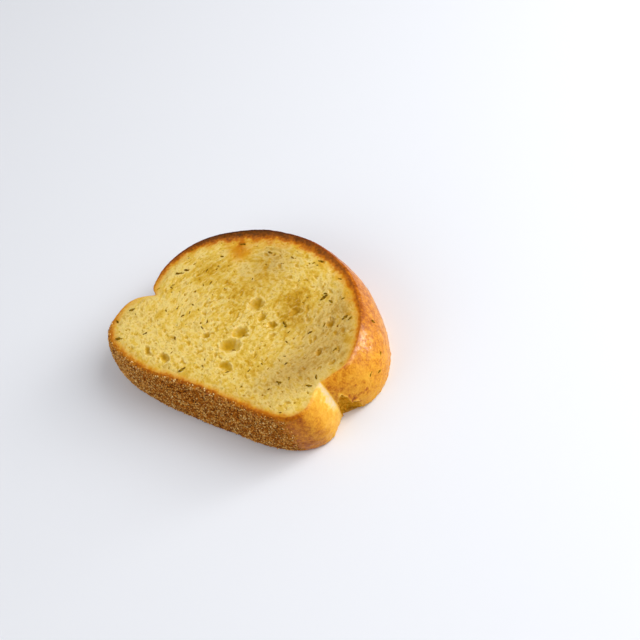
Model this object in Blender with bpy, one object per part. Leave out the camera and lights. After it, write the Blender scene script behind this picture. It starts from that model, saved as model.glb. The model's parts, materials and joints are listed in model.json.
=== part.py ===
"""One thick slice of garlic bread, cut from a floured bloomer loaf and toasted.

The slice lies on its lower cut face. Its outline is a tall dome that has risen over a wider foot, with
a crease on each side where the two meet. X runs along the sole of the loaf, Y towards the dome's top and
Z through the slice. The origin is the middle of the underside. Sizes are in millimetres, and the finished
mesh is in metres.
"""

import math
import random
from typing import NamedTuple

import bmesh
import bpy
import numpy as np
from mathutils import Matrix, Vector

MM = 0.001
SEED = 41


class Lobe(NamedTuple):
    """A superellipse whose left and right halves each have their own squareness."""

    x: float
    y: float
    half_width: float
    half_height: float
    left_power: float
    right_power: float
    lean_deg: float


class Hollow(NamedTuple):
    """An oval pore in the crumb."""

    x: float
    y: float
    half_length: float
    half_width: float
    depth: float
    turn_deg: float


class Flake(NamedTuple):
    """A scrap of dried herb lying on a cut face."""

    x: float
    y: float
    half_length: float
    turn_deg: float


# Driving sizes. The loaf widens towards its middle, so the lower cut face is larger than the upper one.
THICKNESS = 28.0
DOME_UPPER = Lobe(4.6, -1.0, 63.3, 48.2, 1.91, 1.95, -11.5)
FOOT_UPPER = Lobe(-0.9, -26.4, 63.7, 23.3, 2.8, 4.2, 0.0)
DOME_LOWER = Lobe(1.7, 4.6, 72.7, 46.0, 1.91, 1.95, -11.5)
FOOT_LOWER = Lobe(-3.8, -19.8, 70.0, 31.9, 2.8, 3.7, 0.0)
HEART = (1.0, -6.4)  # a point inside both lobes, from which the crust is measured by bearing
FACE_REACH = (67.0, 56.0)  # the upper face lies within this distance of HEART in X and in Y

WALL_SWELL = 2.8  # how far the crust bellies out halfway down
FOOT_SWELL_SHARE = 0.6
JOIN_SOFTNESS = 0.3
CREASE_DEPTH, CREASE_REACH = 2.7, 6.0
CRUST_WAVE = 0.3  # unevenness of the crust

# The toasted edges, the dip of the upper face beside its edge, and how finely the crust is divided.
UPPER_EDGE, LOWER_EDGE = 1.5, 1.2
EDGE_STEPS = 2
FACE_DIP, FACE_DIP_INSET, FACE_FLAT_INSET = 0.5, 3.2, 8.0
WALL_RINGS = 5
FOOT_POINTS, DOME_POINTS = 50, 60

# Where the dome's skin has torn beside the right crease: bearing, height, and half sizes along, up and
# into the crust of each scoop.
TEARS = (
    (-12.4, 7.0, (3.0, 10.0, 4.2)),
    (-9.6, 2.4, (3.2, 7.0, 4.2)),
    (-6.0, 0.0, (3.0, 2.4, 1.8)),
)

# Pores of the upper face. The bread's dough flows down to the right in the foot and round in the dome.
LARGE_PORES = (
    Hollow(5.3, -21.1, 4.4, 3.0, 1.7, 18),
    Hollow(5.7, -12.9, 3.2, 2.8, 1.2, 60),
    Hollow(3.9, 4.0, 3.3, 2.8, 1.5, 75),
    Hollow(10.1, -32.2, 3.2, 2.1, 1.1, -15),
    Hollow(-23.5, -39.3, 3.1, 1.6, 1.4, -18),
    Hollow(-34.3, -39.0, 2.8, 1.2, 1.0, -35),
    Hollow(18.7, -3.2, 2.0, 1.6, 1.4, 10),
    Hollow(46.1, 8.0, 2.2, 1.7, 1.2, -60),
    Hollow(-10.7, -20.8, 1.9, 1.4, 1.0, 40),
    Hollow(11.1, -1.0, 2.1, 1.6, 1.1, -70),
    Hollow(25.9, 7.6, 2.6, 2.0, 1.2, 50),
    Hollow(50.2, -8.1, 1.9, 1.3, 1.2, -80),
)
SMALL_PORES, SMALL_PORE_LENGTHS, SMALL_PORE_GAP = 22, (1.1, 2.0), 6.5
UNDER_PORES, UNDER_PORE_LENGTHS, UNDER_PORE_GAP = 14, (1.6, 3.2), 14.0
PORE_WIDTH_SHARE, SMALL_PORE_DEPTH, UNDER_PORE_DEPTH = 0.6, 0.7, 1.0
PORE_MARGIN = 9.0  # crumb kept whole beside the crust
FLOW_LINE, FOOT_FLOW_DEG, FLOW_STRAY_DEG = -18.0, -22.0, 20.0  # the dough's flow, below this y and about it

# Herbs that stand out on the upper face, then the number strewn besides.
HERBS = (
    Flake(-47.1, 6.3, 2.1, 40),
    Flake(-45.0, 9.2, 1.5, 25),
    Flake(-58.6, -21.5, 1.6, 55),
    Flake(-61.8, -30.5, 1.3, -10),
    Flake(-54.0, -38.7, 2.0, 15),
    Flake(-42.3, -31.2, 1.2, 60),
    Flake(-14.8, -13.5, 1.1, -70),
    Flake(-29.4, -14.9, 1.1, 85),
    Flake(-24.9, -27.9, 1.2, -30),
    Flake(-10.1, -41.7, 1.9, 50),
    Flake(25.1, -0.9, 2.0, -20),
    Flake(35.0, 19.5, 2.1, 60),
    Flake(39.8, 18.7, 1.4, 5),
    Flake(51.6, 13.1, 1.7, 85),
    Flake(54.2, 13.6, 1.4, 95),
    Flake(39.8, -0.4, 1.2, 70),
    Flake(57.0, -4.3, 1.1, 90),
    Flake(56.6, -20.5, 1.3, -45),
    Flake(56.1, -26.0, 1.5, 25),
    Flake(41.2, -29.9, 1.4, 20),
    Flake(21.4, 37.7, 1.6, -5),
    Flake(-7.8, 33.7, 1.4, 10),
    Flake(-24.9, 33.3, 1.5, 30),
    Flake(-31.4, 23.0, 1.2, 15),
)
STREWN_HERBS, STREWN_HERB_LENGTHS, STREWN_HERB_GAP = 14, (0.9, 1.5), 5.0
CRUST_HERBS = ((22.9, 0.77), (11.5, 0.52), (5.7, 0.40), (2.1, 0.54))  # bearing and rise up the crust
CRUST_HERB_LENGTH = 1.3
HERB_WIDTH_SHARE, HERB_THICK, HERB_TAPER, HERB_TILT_DEG = 0.42, 0.55, 0.75, 7.0

# Semolina baked into the sole: its stretch of the crust, in bearing and rise, and the coarse grains.
SOLE_BEARINGS, SOLE_RISES = (-158.0, -40.0), (0.08, 0.86)
GRAINS, GRAIN_HALF_LENGTHS, GRAIN_TRIES = 120, (0.7, 1.25), 14
GRAIN_WIDTH_SHARE, GRAIN_HEIGHT_SHARE = 0.75, 0.6
GRAIN_CLEARANCE = 0.3  # height kept between any grain and the surface the slice lies on

CRUMB_COLOUR = (0.74, 0.52, 0.13, 1.0)
CRUST_COLOUR = (0.62, 0.24, 0.04, 1.0)
SEMOLINA_COLOUR = (0.42, 0.22, 0.08, 1.0)
HERB_COLOUR = (0.07, 0.07, 0.02, 1.0)


def blend(low, high, share):
    """The lobe that lies the given share of the way from one cut face's lobe to the other's."""
    return Lobe(*(a + (b - a) * share for a, b in zip(low, high)))


def lobe_reach(lobe, bearing):
    """Distances from HEART to the lobe's edge along each bearing, by halving an interval."""
    turn = math.radians(lobe.lean_deg)
    cos, sin = math.cos(turn), math.sin(turn)
    from_x, from_y = HEART[0] - lobe.x, HEART[1] - lobe.y
    start_x, start_y = cos * from_x + sin * from_y, cos * from_y - sin * from_x
    along_x = cos * np.cos(bearing) + sin * np.sin(bearing)
    along_y = cos * np.sin(bearing) - sin * np.cos(bearing)
    near, far = np.zeros_like(bearing), np.full_like(bearing, 2.0 * lobe.half_width)
    for _ in range(30):
        middle = (near + far) / 2
        x, y = start_x + along_x * middle, start_y + along_y * middle
        power = np.where(x < 0, lobe.left_power, lobe.right_power)
        inside = abs(x / lobe.half_width) ** power + abs(y / lobe.half_height) ** power < 1
        near, far = np.where(inside, middle, near), np.where(inside, far, middle)
    return near


def crust_radius(bearing, rise):
    """Distances from HEART to the crust, with rise 0 at the lower cut face and 1 at the upper one."""
    halfway = 4 * rise * (1 - rise)
    swell = WALL_SWELL * halfway
    dome = blend(DOME_LOWER, DOME_UPPER, rise)
    foot = blend(FOOT_LOWER, FOOT_UPPER, rise)
    dome = dome._replace(half_width=dome.half_width + swell, half_height=dome.half_height + swell)
    foot_rise = foot.half_height + FOOT_SWELL_SHARE * swell
    foot = foot._replace(half_width=foot.half_width + swell, half_height=foot_rise)
    to_dome, to_foot = lobe_reach(dome, bearing), lobe_reach(foot, bearing)
    apart = to_dome - to_foot
    outer = (to_dome + to_foot + np.sqrt(apart**2 + JOIN_SOFTNESS**2)) / 2
    wave = np.sin(7 * bearing + 2.1 * rise) + np.sin(12 * bearing - 4.3 * rise + 1.0)
    return outer - CREASE_DEPTH * np.exp(-((apart / CREASE_REACH) ** 2)) + CRUST_WAVE * wave / 2


def crease_bearings(rise):
    """Bearings of the left and the right crease, where the crust passes from one lobe to the other."""
    bearing = np.linspace(-1.25 * math.pi, 0.25 * math.pi, 1201)
    dome, foot = blend(DOME_LOWER, DOME_UPPER, rise), blend(FOOT_LOWER, FOOT_UPPER, rise)
    apart = lobe_reach(dome, bearing) - lobe_reach(foot, bearing)
    crossings = np.nonzero(np.diff(np.sign(apart)))[0]
    return bearing[crossings[0]], bearing[crossings[-1]]


def ring_bearings(rise):
    """Bearings of one ring's points, the first on the left crease and one on the right crease."""
    left, right = crease_bearings(rise)
    foot = np.linspace(left, right, FOOT_POINTS, endpoint=False)
    dome = np.linspace(right, left + 2 * math.pi, DOME_POINTS, endpoint=False)
    return np.concatenate((foot, dome))


def crust_point(bearing, rise):
    """The point of the crust at one bearing and rise."""
    radius = float(crust_radius(np.array([bearing]), rise)[0])
    x, y = HEART[0] + radius * math.cos(bearing), HEART[1] + radius * math.sin(bearing)
    return Vector((x, y, rise * THICKNESS))


def crust_frame(bearing, rise):
    """A turned and placed frame on the crust: X along it, Y up it and Z straight out of it."""
    here, step = crust_point(bearing, rise), 0.02
    along = (crust_point(bearing + step, rise) - here).normalized()
    up = crust_point(bearing, rise + step) - crust_point(bearing, rise - step)
    out = along.cross(up).normalized()
    turned = Matrix((along, out.cross(along), out)).transposed()
    return Matrix.Translation(here) @ turned.to_4x4()


def ring_plan():
    """(rise, inset from the crust, height) of each ring, from the underside's flat to the upper face's."""
    plan = []
    for step in range(EDGE_STEPS + 1):
        turn = 0.5 * math.pi * step / EDGE_STEPS
        height = LOWER_EDGE * (1 - math.cos(turn))
        plan.append((height / THICKNESS, LOWER_EDGE * (1 - math.sin(turn)), height))
    edge_foot = THICKNESS - FACE_DIP - UPPER_EDGE
    for ring in range(1, WALL_RINGS):
        height = LOWER_EDGE + (edge_foot - LOWER_EDGE) * ring / WALL_RINGS
        plan.append((height / THICKNESS, 0.0, height))
    for step in range(EDGE_STEPS + 1):
        turn = 0.5 * math.pi * step / EDGE_STEPS
        height = edge_foot + UPPER_EDGE * math.sin(turn)
        plan.append((height / THICKNESS, UPPER_EDGE * (1 - math.cos(turn)), height))
    plan.append((1.0, FACE_DIP_INSET, THICKNESS - FACE_DIP))
    plan.append((1.0, FACE_FLAT_INSET, THICKNESS))
    return plan


def loft_slice():
    """The bare slice: rings from one cut face to the other, each face closed by one flat polygon."""
    mesh = bmesh.new()
    rings = []
    for rise, inset, height in ring_plan():
        bearing = ring_bearings(rise)
        radius = crust_radius(bearing, rise) - inset
        x, y = HEART[0] + radius * np.cos(bearing), HEART[1] + radius * np.sin(bearing)
        rings.append([mesh.verts.new((a * MM, b * MM, height * MM)) for a, b in zip(x, y)])
    for lower, upper in zip(rings, rings[1:]):
        for i, corner in enumerate(lower):
            j = (i + 1) % len(lower)
            mesh.faces.new((corner, lower[j], upper[j], upper[i]))
    faces = [mesh.faces.new(list(reversed(rings[0]))), mesh.faces.new(rings[-1])]
    for face in mesh.faces:
        face.material_index = 1 if face in faces else 0
    return mesh


def bread_material(name, colour, roughness):
    """A plain Principled material."""
    material = bpy.data.materials.new(name)
    material.use_nodes = True
    shader = material.node_tree.nodes["Principled BSDF"]
    shader.inputs["Base Color"].default_value = colour
    shader.inputs["Roughness"].default_value = roughness
    shader.inputs["Metallic"].default_value = 0.0
    return material


def mesh_object(name, shape, materials, collection):
    """An object made from a bmesh, with its materials, in a collection."""
    mesh = bpy.data.meshes.new(name)
    shape.to_mesh(mesh)
    shape.free()
    for material in materials:
        mesh.materials.append(material)
    thing = bpy.data.objects.new(name, mesh)
    collection.objects.link(thing)
    return thing


def lump(name, place, half_sizes, divisions, material, collection):
    """A squashed icosphere at a frame given in millimetres."""
    shape = bmesh.new()
    bmesh.ops.create_icosphere(shape, subdivisions=divisions, radius=1.0)
    to_place = Matrix.Scale(MM, 4) @ place @ Matrix.Diagonal((*half_sizes, 1.0))
    bmesh.ops.transform(shape, matrix=to_place, verts=shape.verts)
    return mesh_object(name, shape, [material], collection)


def herb(name, place, half_length, spin, material, collection):
    """A thin six-sided scrap of leaf, tilted a little, half sunk where it lies."""
    shape = bmesh.new()
    bmesh.ops.create_cone(
        shape, cap_ends=True, segments=6, radius1=1.0, radius2=HERB_TAPER, depth=HERB_THICK
    )
    stretch = Matrix.Diagonal((half_length, half_length * HERB_WIDTH_SHARE, 1.0, 1.0))
    tilt = Matrix.Rotation(math.radians(HERB_TILT_DEG), 4, "X")
    turned = Matrix.Rotation(spin, 4, "Z") @ tilt @ stretch
    bmesh.ops.transform(shape, matrix=Matrix.Scale(MM, 4) @ place @ turned, verts=shape.verts)
    return mesh_object(name, shape, [material], collection)


def flat_place(x, y, height, turn_deg=0.0):
    """A frame on a cut face, Z up, turned about Z."""
    return Matrix.Translation((x, y, height)) @ Matrix.Rotation(math.radians(turn_deg), 4, "Z")


def inset_at(x, y):
    """How far a point of the upper face lies inside the crust."""
    bearing = math.atan2(y - HEART[1], x - HEART[0])
    return float(crust_radius(np.array([bearing]), 1.0)[0]) - math.hypot(x - HEART[0], y - HEART[1])


def spread_points(draw, count, taken, apart):
    """Seeded points on a cut face, each well away from the crust, from those taken and from each other."""
    points = []
    while len(points) < count:
        x, y = (middle + draw.uniform(-reach, reach) for middle, reach in zip(HEART, FACE_REACH))
        if inset_at(x, y) < PORE_MARGIN:
            continue
        if all(math.hypot(x - a, y - b) > apart for a, b in taken + points):
            points.append((x, y))
    return points


def flow_turn(x, y):
    """Direction in degrees in which the dough runs at a point: round the dome, down across the foot."""
    if y < FLOW_LINE:
        return FOOT_FLOW_DEG
    return math.degrees(math.atan2(y - DOME_UPPER.y, x - DOME_UPPER.x)) + 90.0


def add_pores(draw, material, collection):
    """Pore cutters of both cut faces, the named ones first."""
    pores = list(LARGE_PORES)
    taken = [(p.x, p.y) for p in pores] + [(h.x, h.y) for h in HERBS]
    for x, y in spread_points(draw, SMALL_PORES, taken, SMALL_PORE_GAP):
        length = draw.uniform(*SMALL_PORE_LENGTHS)
        turn = flow_turn(x, y) + draw.uniform(-FLOW_STRAY_DEG, FLOW_STRAY_DEG)
        pores.append(Hollow(x, y, length, PORE_WIDTH_SHARE * length, SMALL_PORE_DEPTH, turn))
    for i, p in enumerate(pores):
        place = flat_place(p.x, p.y, THICKNESS, p.turn_deg)
        divisions = 2 if i < len(LARGE_PORES) else 1
        lump(f"pore_{i:02d}", place, (p.half_length, p.half_width, p.depth), divisions, material, collection)
    for i, (x, y) in enumerate(spread_points(draw, UNDER_PORES, [HEART], UNDER_PORE_GAP)):
        length = draw.uniform(*UNDER_PORE_LENGTHS)
        half_sizes = (length, PORE_WIDTH_SHARE * length, UNDER_PORE_DEPTH)
        place = flat_place(x, y, 0.0, flow_turn(x, y))
        lump(f"under_pore_{i:02d}", place, half_sizes, 1, material, collection)
    return [(p.x, p.y) for p in pores]


def add_tears(material, collection):
    """Cutters of the torn skin beside the right crease."""
    for i, (bearing_deg, height, half_sizes) in enumerate(TEARS):
        place = crust_frame(math.radians(bearing_deg), height / THICKNESS)
        lump(f"tear_{i}", place, half_sizes, 2, material, collection)


def add_herbs(draw, pores, material, collection):
    """The herbs of the upper face and of the right-hand crust."""
    herbs = list(HERBS)
    taken = [(h.x, h.y) for h in HERBS] + pores
    for x, y in spread_points(draw, STREWN_HERBS, taken, STREWN_HERB_GAP):
        herbs.append(Flake(x, y, draw.uniform(*STREWN_HERB_LENGTHS), draw.uniform(0, 180)))
    for i, h in enumerate(herbs):
        to_flat = min(1.0, (inset_at(h.x, h.y) - FACE_DIP_INSET) / (FACE_FLAT_INSET - FACE_DIP_INSET))
        place = flat_place(h.x, h.y, THICKNESS - FACE_DIP * (1 - to_flat), h.turn_deg)
        herb(f"herb_{i:02d}", place, h.half_length, 0.0, material, collection)
    for i, (bearing_deg, rise) in enumerate(CRUST_HERBS):
        place = crust_frame(math.radians(bearing_deg), rise)
        herb(f"crust_herb_{i}", place, CRUST_HERB_LENGTH, draw.uniform(0, math.pi), material, collection)


def add_grains(draw, material, collection):
    """Coarse semolina on the sole, each grain put where the others leave the most room."""
    grown = []
    for i in range(GRAINS):
        candidates = []
        for _ in range(GRAIN_TRIES):
            bearing, rise = math.radians(draw.uniform(*SOLE_BEARINGS)), draw.uniform(*SOLE_RISES)
            point = crust_point(bearing, rise)
            room = min(((point - other).length for other in grown), default=0.0)
            candidates.append((room, bearing, rise, point))
        _, bearing, rise, point = max(candidates, key=lambda c: c[0])
        grown.append(point)
        smallest, largest = GRAIN_HALF_LENGTHS
        length = largest + (smallest - largest) * i / GRAINS
        half_sizes = (length, GRAIN_WIDTH_SHARE * length, GRAIN_HEIGHT_SHARE * length)
        place = crust_frame(bearing, rise) @ Matrix.Rotation(draw.uniform(0, math.pi), 4, "Z")
        if point.z - length > GRAIN_CLEARANCE:
            lump(f"grain_{i:03d}", place, half_sizes, 1, material, collection)


def combine(body, operation, collection):
    """Cuts or joins a whole collection at once, then removes its objects."""
    modifier = body.modifiers.new(operation.lower(), "BOOLEAN")
    modifier.operation = operation
    modifier.operand_type = "COLLECTION"
    modifier.collection = collection
    modifier.solver = "EXACT"
    modifier.material_mode = "TRANSFER"
    shaped = bpy.data.meshes.new_from_object(body.evaluated_get(bpy.context.evaluated_depsgraph_get()))
    body.modifiers.clear()
    body.data = shaped
    for piece in list(collection.objects):
        bpy.data.objects.remove(piece)


def keep_largest(mesh):
    """Drops any scrap that the cuts have left loose, and sliver faces."""
    shape = bmesh.new()
    shape.from_mesh(mesh)
    bmesh.ops.remove_doubles(shape, verts=shape.verts, dist=1e-6)
    bmesh.ops.dissolve_degenerate(shape, dist=1e-6, edges=shape.edges)
    unseen, islands = set(shape.verts), []
    while unseen:
        island, queue = set(), [unseen.pop()]
        while queue:
            vert = queue.pop()
            island.add(vert)
            for edge in vert.link_edges:
                other = edge.other_vert(vert)
                if other in unseen:
                    unseen.discard(other)
                    queue.append(other)
        islands.append(island)
    islands.sort(key=len)
    for scrap in islands[:-1]:
        bmesh.ops.delete(shape, geom=list(scrap), context="VERTS")
    shape.to_mesh(mesh)
    shape.free()


def new_collection(name):
    """A collection linked to the scene."""
    collection = bpy.data.collections.new(name)
    bpy.context.scene.collection.children.link(collection)
    return collection


def main():
    """Builds the slice."""
    for thing in list(bpy.data.objects):
        bpy.data.objects.remove(thing)
    draw = random.Random(SEED)
    food, cutters = new_collection("garlic_bread"), new_collection("pore_cutters")
    toppings = new_collection("toppings")
    crust = bread_material("baked_crust", CRUST_COLOUR, 0.55)
    crumb = bread_material("buttered_crumb", CRUMB_COLOUR, 0.7)
    semolina = bread_material("toasted_semolina", SEMOLINA_COLOUR, 0.8)
    dried_herb = bread_material("dried_herb", HERB_COLOUR, 0.8)
    body = mesh_object("bread_slice", loft_slice(), [crust, crumb], food)
    pores = add_pores(draw, crumb, cutters)
    add_tears(crumb, cutters)
    combine(body, "DIFFERENCE", cutters)
    add_herbs(draw, pores, dried_herb, toppings)
    add_grains(draw, semolina, toppings)
    combine(body, "UNION", toppings)
    keep_largest(body.data)
    body.data.shade_smooth()
    body.data.set_sharp_from_angle(angle=math.radians(35))


main()
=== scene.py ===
"""Looks of one thick slice of toasted garlic bread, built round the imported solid.

The slice lies on its lower cut face. X runs along the sole of the loaf, Y towards the top of the dome
and Z through the slice, with the origin in the middle of the underside. Sizes are millimetres until a
mesh is made, and the meshes are in metres.
"""

import json
import logging
import math
from dataclasses import dataclass, field, replace
from enum import Enum
from typing import Any

import bmesh
import bpy
import numpy as np
from mathutils import Matrix, Vector, noise
from mathutils.geometry import delaunay_2d_cdt
from mathutils.kdtree import KDTree

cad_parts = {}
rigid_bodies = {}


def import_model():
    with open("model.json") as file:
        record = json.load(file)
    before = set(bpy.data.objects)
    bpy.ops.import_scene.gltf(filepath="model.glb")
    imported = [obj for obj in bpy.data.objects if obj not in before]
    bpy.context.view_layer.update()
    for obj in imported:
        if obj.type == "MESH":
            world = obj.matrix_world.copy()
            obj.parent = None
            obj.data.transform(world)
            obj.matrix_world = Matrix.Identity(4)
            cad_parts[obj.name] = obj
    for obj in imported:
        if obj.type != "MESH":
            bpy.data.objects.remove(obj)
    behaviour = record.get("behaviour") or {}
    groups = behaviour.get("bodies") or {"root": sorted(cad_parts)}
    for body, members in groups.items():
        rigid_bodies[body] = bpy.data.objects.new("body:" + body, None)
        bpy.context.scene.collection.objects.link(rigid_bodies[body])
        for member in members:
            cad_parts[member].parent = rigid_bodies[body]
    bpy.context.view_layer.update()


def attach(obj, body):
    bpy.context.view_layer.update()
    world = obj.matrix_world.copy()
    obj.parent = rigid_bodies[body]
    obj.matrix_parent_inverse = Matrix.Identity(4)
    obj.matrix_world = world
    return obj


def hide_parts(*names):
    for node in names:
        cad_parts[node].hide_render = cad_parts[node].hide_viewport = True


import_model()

MM = 0.001
BODY = "root"
NODE = "bread_slice"
LOG = logging.getLogger("garlic_bread")


def linear(colour: str) -> tuple[float, float, float, float]:
    """Turns an sRGB hex colour into the linear RGBA that shaders and lights use.

    Args:
        colour: Six hex digits after a hash sign.

    Returns:
        Linear red, green and blue, with an alpha of one.
    """
    parts = [int(colour[i : i + 2], 16) / 255 for i in (1, 3, 5)]
    flat = [c / 12.92 if c <= 0.04045 else ((c + 0.055) / 1.055) ** 2.4 for c in parts]
    return (*flat, 1.0)


def per_mm(size: float) -> float:
    """Scale of a texture, read on coordinates in metres, whose features are size millimetres wide."""
    return 1.0 / (size * MM)


def add_node(
    tree: bpy.types.NodeTree, kind: str, inputs: dict | None = None, **settings: Any
) -> bpy.types.Node:
    """Adds one node with its settings, values and links.

    Args:
        tree: The tree that takes the node.
        kind: Blender's name for the node's type.
        inputs: For each input, by name or number, the socket that feeds it or its value.
        settings: The node's own properties, where stops lists a colour ramp's places and hex colours.

    Returns:
        The new node.
    """
    node = tree.nodes.new(kind)
    stops = settings.pop("stops", None)
    for name, value in settings.items():
        setattr(node, name, value)
    for key, value in (inputs or {}).items():
        if isinstance(value, bpy.types.NodeSocket):
            tree.links.new(value, node.inputs[key])
        else:
            node.inputs[key].default_value = value
    if stops:
        elements = node.color_ramp.elements
        while len(elements) < len(stops):
            elements.new(1.0)
        for element, (place, colour) in zip(elements, stops):
            element.position = place
            element.color = linear(colour) if isinstance(colour, str) else (colour, colour, colour, 1.0)
    return node


def new_finish(name: str, values: dict[str, Any]) -> bpy.types.Material:
    """Makes a material and sets what is the same all over its surface.

    Args:
        name: The material's name.
        values: Values of the shader's own sockets, by name.

    Returns:
        The material, with its Principled shader.
    """
    material = bpy.data.materials.new(name)
    material.use_nodes = True
    shader = material.node_tree.nodes["Principled BSDF"]
    for socket, value in values.items():
        shader.inputs[socket].default_value = value
    return material


def show(name: str, data: bpy.types.ID) -> bpy.types.Object:
    """Makes an object of a mesh, light or camera, and links it to the scene.

    Args:
        name: The object's name.
        data: What it shows.

    Returns:
        The object.
    """
    made = bpy.data.objects.new(name, data)
    bpy.context.scene.collection.objects.link(made)
    return made


def set_values(mesh: bpy.types.Mesh, values: dict[str, np.ndarray]) -> None:
    """Gives a mesh a point attribute for each named list of numbers.

    Args:
        mesh: The mesh.
        values: One number for each of its points, by the attribute's name.
    """
    for name, numbers in values.items():
        attribute = mesh.attributes.new(name, "FLOAT", "POINT")
        attribute.data.foreach_set("value", numbers.astype(np.float32))


def ease(low: float, high: float, value: np.ndarray) -> np.ndarray:
    """Smooth step of value from 0 at low to 1 at high."""
    share = np.clip((value - low) / (high - low), 0.0, 1.0)
    return share * share * (3.0 - 2.0 * share)


def bell(value: np.ndarray, centre: float, reach: float, power: int = 2) -> np.ndarray:
    """Bell curve of value, 1 at its centre, whose sides are steeper with a higher power."""
    return np.exp(-(((value - centre) / reach) ** power))


def signed_degrees(bearing: np.ndarray) -> np.ndarray:
    """Bearings in degrees, from -180 to 180."""
    return (np.degrees(bearing) + 180.0) % 360.0 - 180.0


def roughen(points: np.ndarray, size: float, octaves: int = 1, shift: float = 0.0) -> np.ndarray:
    """Smooth noise about zero, read at points.

    Args:
        points: Places in millimetres, one a row, with two or three columns.
        size: Width of the coarsest lumps, in millimetres.
        octaves: Layers of finer lumps added, each half as wide and half as high.
        shift: Moves the noise, so that fields of one size differ.

    Returns:
        One value for each point, mostly within 0.6 of zero.
    """
    padded = np.pad(points, ((0, 0), (0, 3 - points.shape[1])))
    places = (padded / size + shift).tolist()
    return np.array([noise.fractal(p, 1.0, 2.0, octaves) for p in places])


@dataclass(frozen=True)
class Lumps:
    """Smooth unevenness: its height, the width of its coarsest lumps, its layers and its shift."""

    height: float
    size: float
    octaves: int
    shift: float

    def at(self, points: np.ndarray) -> np.ndarray:
        """One value for each point, mostly within 0.6 of its height."""
        return self.height * roughen(points, self.size, self.octaves, self.shift)


@dataclass(frozen=True)
class Stretch:
    """A stretch of bearings in degrees, 0 at its start and end and whole from full to fading."""

    start: float
    full: float
    fading: float
    end: float

    def at(self, degrees: np.ndarray) -> np.ndarray:
        """Share of the stretch at each bearing."""
        return ease(self.start, self.full, degrees) * ease(self.end, self.fading, degrees)


@dataclass(frozen=True)
class Lobe:
    """A superellipse whose left and right halves each have their own squareness."""

    x: float
    y: float
    half_width: float
    half_height: float
    left_power: float
    right_power: float
    lean_deg: float

    def towards(self, other: "Lobe", share: float) -> "Lobe":
        """The lobe that lies the given share of the way from this one to another."""
        mine, theirs = list(vars(self).values()), list(vars(other).values())
        return Lobe(*(a + (b - a) * share for a, b in zip(mine, theirs)))


@dataclass(frozen=True)
class Pore:
    """An oval pore: half sizes, depth, and the turn of its long axis towards its darker end."""

    x: float
    y: float
    half_length: float
    half_width: float
    depth: float
    turn_deg: float

    def wider(self, share: float) -> "Pore":
        """The same pore with its length and width multiplied by a share."""
        return replace(self, half_length=share * self.half_length, half_width=share * self.half_width)


@dataclass(frozen=True)
class PoreFamily:
    """Small pores of one kind: how many, their half lengths, proportions and darkness."""

    count: int
    half_lengths: tuple[float, float]
    width_shares: tuple[float, float]
    depth_shares: tuple[float, float]
    tone: float


@dataclass(frozen=True)
class Flake:
    """A scrap of dried herb lying on the upper face."""

    x: float
    y: float
    half_length: float
    turn_deg: float


@dataclass(frozen=True)
class Scoop:
    """A bite torn out of the crust: its bearing and height, and half sizes along, up and into it."""

    bearing_deg: float
    height: float
    along: float
    up: float
    into: float


@dataclass(frozen=True)
class Baking:
    """How the loaf has browned at one bearing.

    The char and its width are those of the dark band on the upper face, and wall is the colour of the
    crust below it, from 0 for pale dough to 1 for nearly black.
    """

    bearing_deg: float
    char: float
    width: float
    wall: float


@dataclass(frozen=True)
class Patch:
    """A soft patch on the upper face: place, radius, and what it adds to butter, toast and dimness
    (partly painted shade).
    """

    x: float
    y: float
    radius: float
    butter: float
    toast: float = 0.0
    dim: float = 0.0


class CutFace(Enum):
    """The two cut faces of the slice."""

    UPPER = 1
    LOWER = 0


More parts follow.
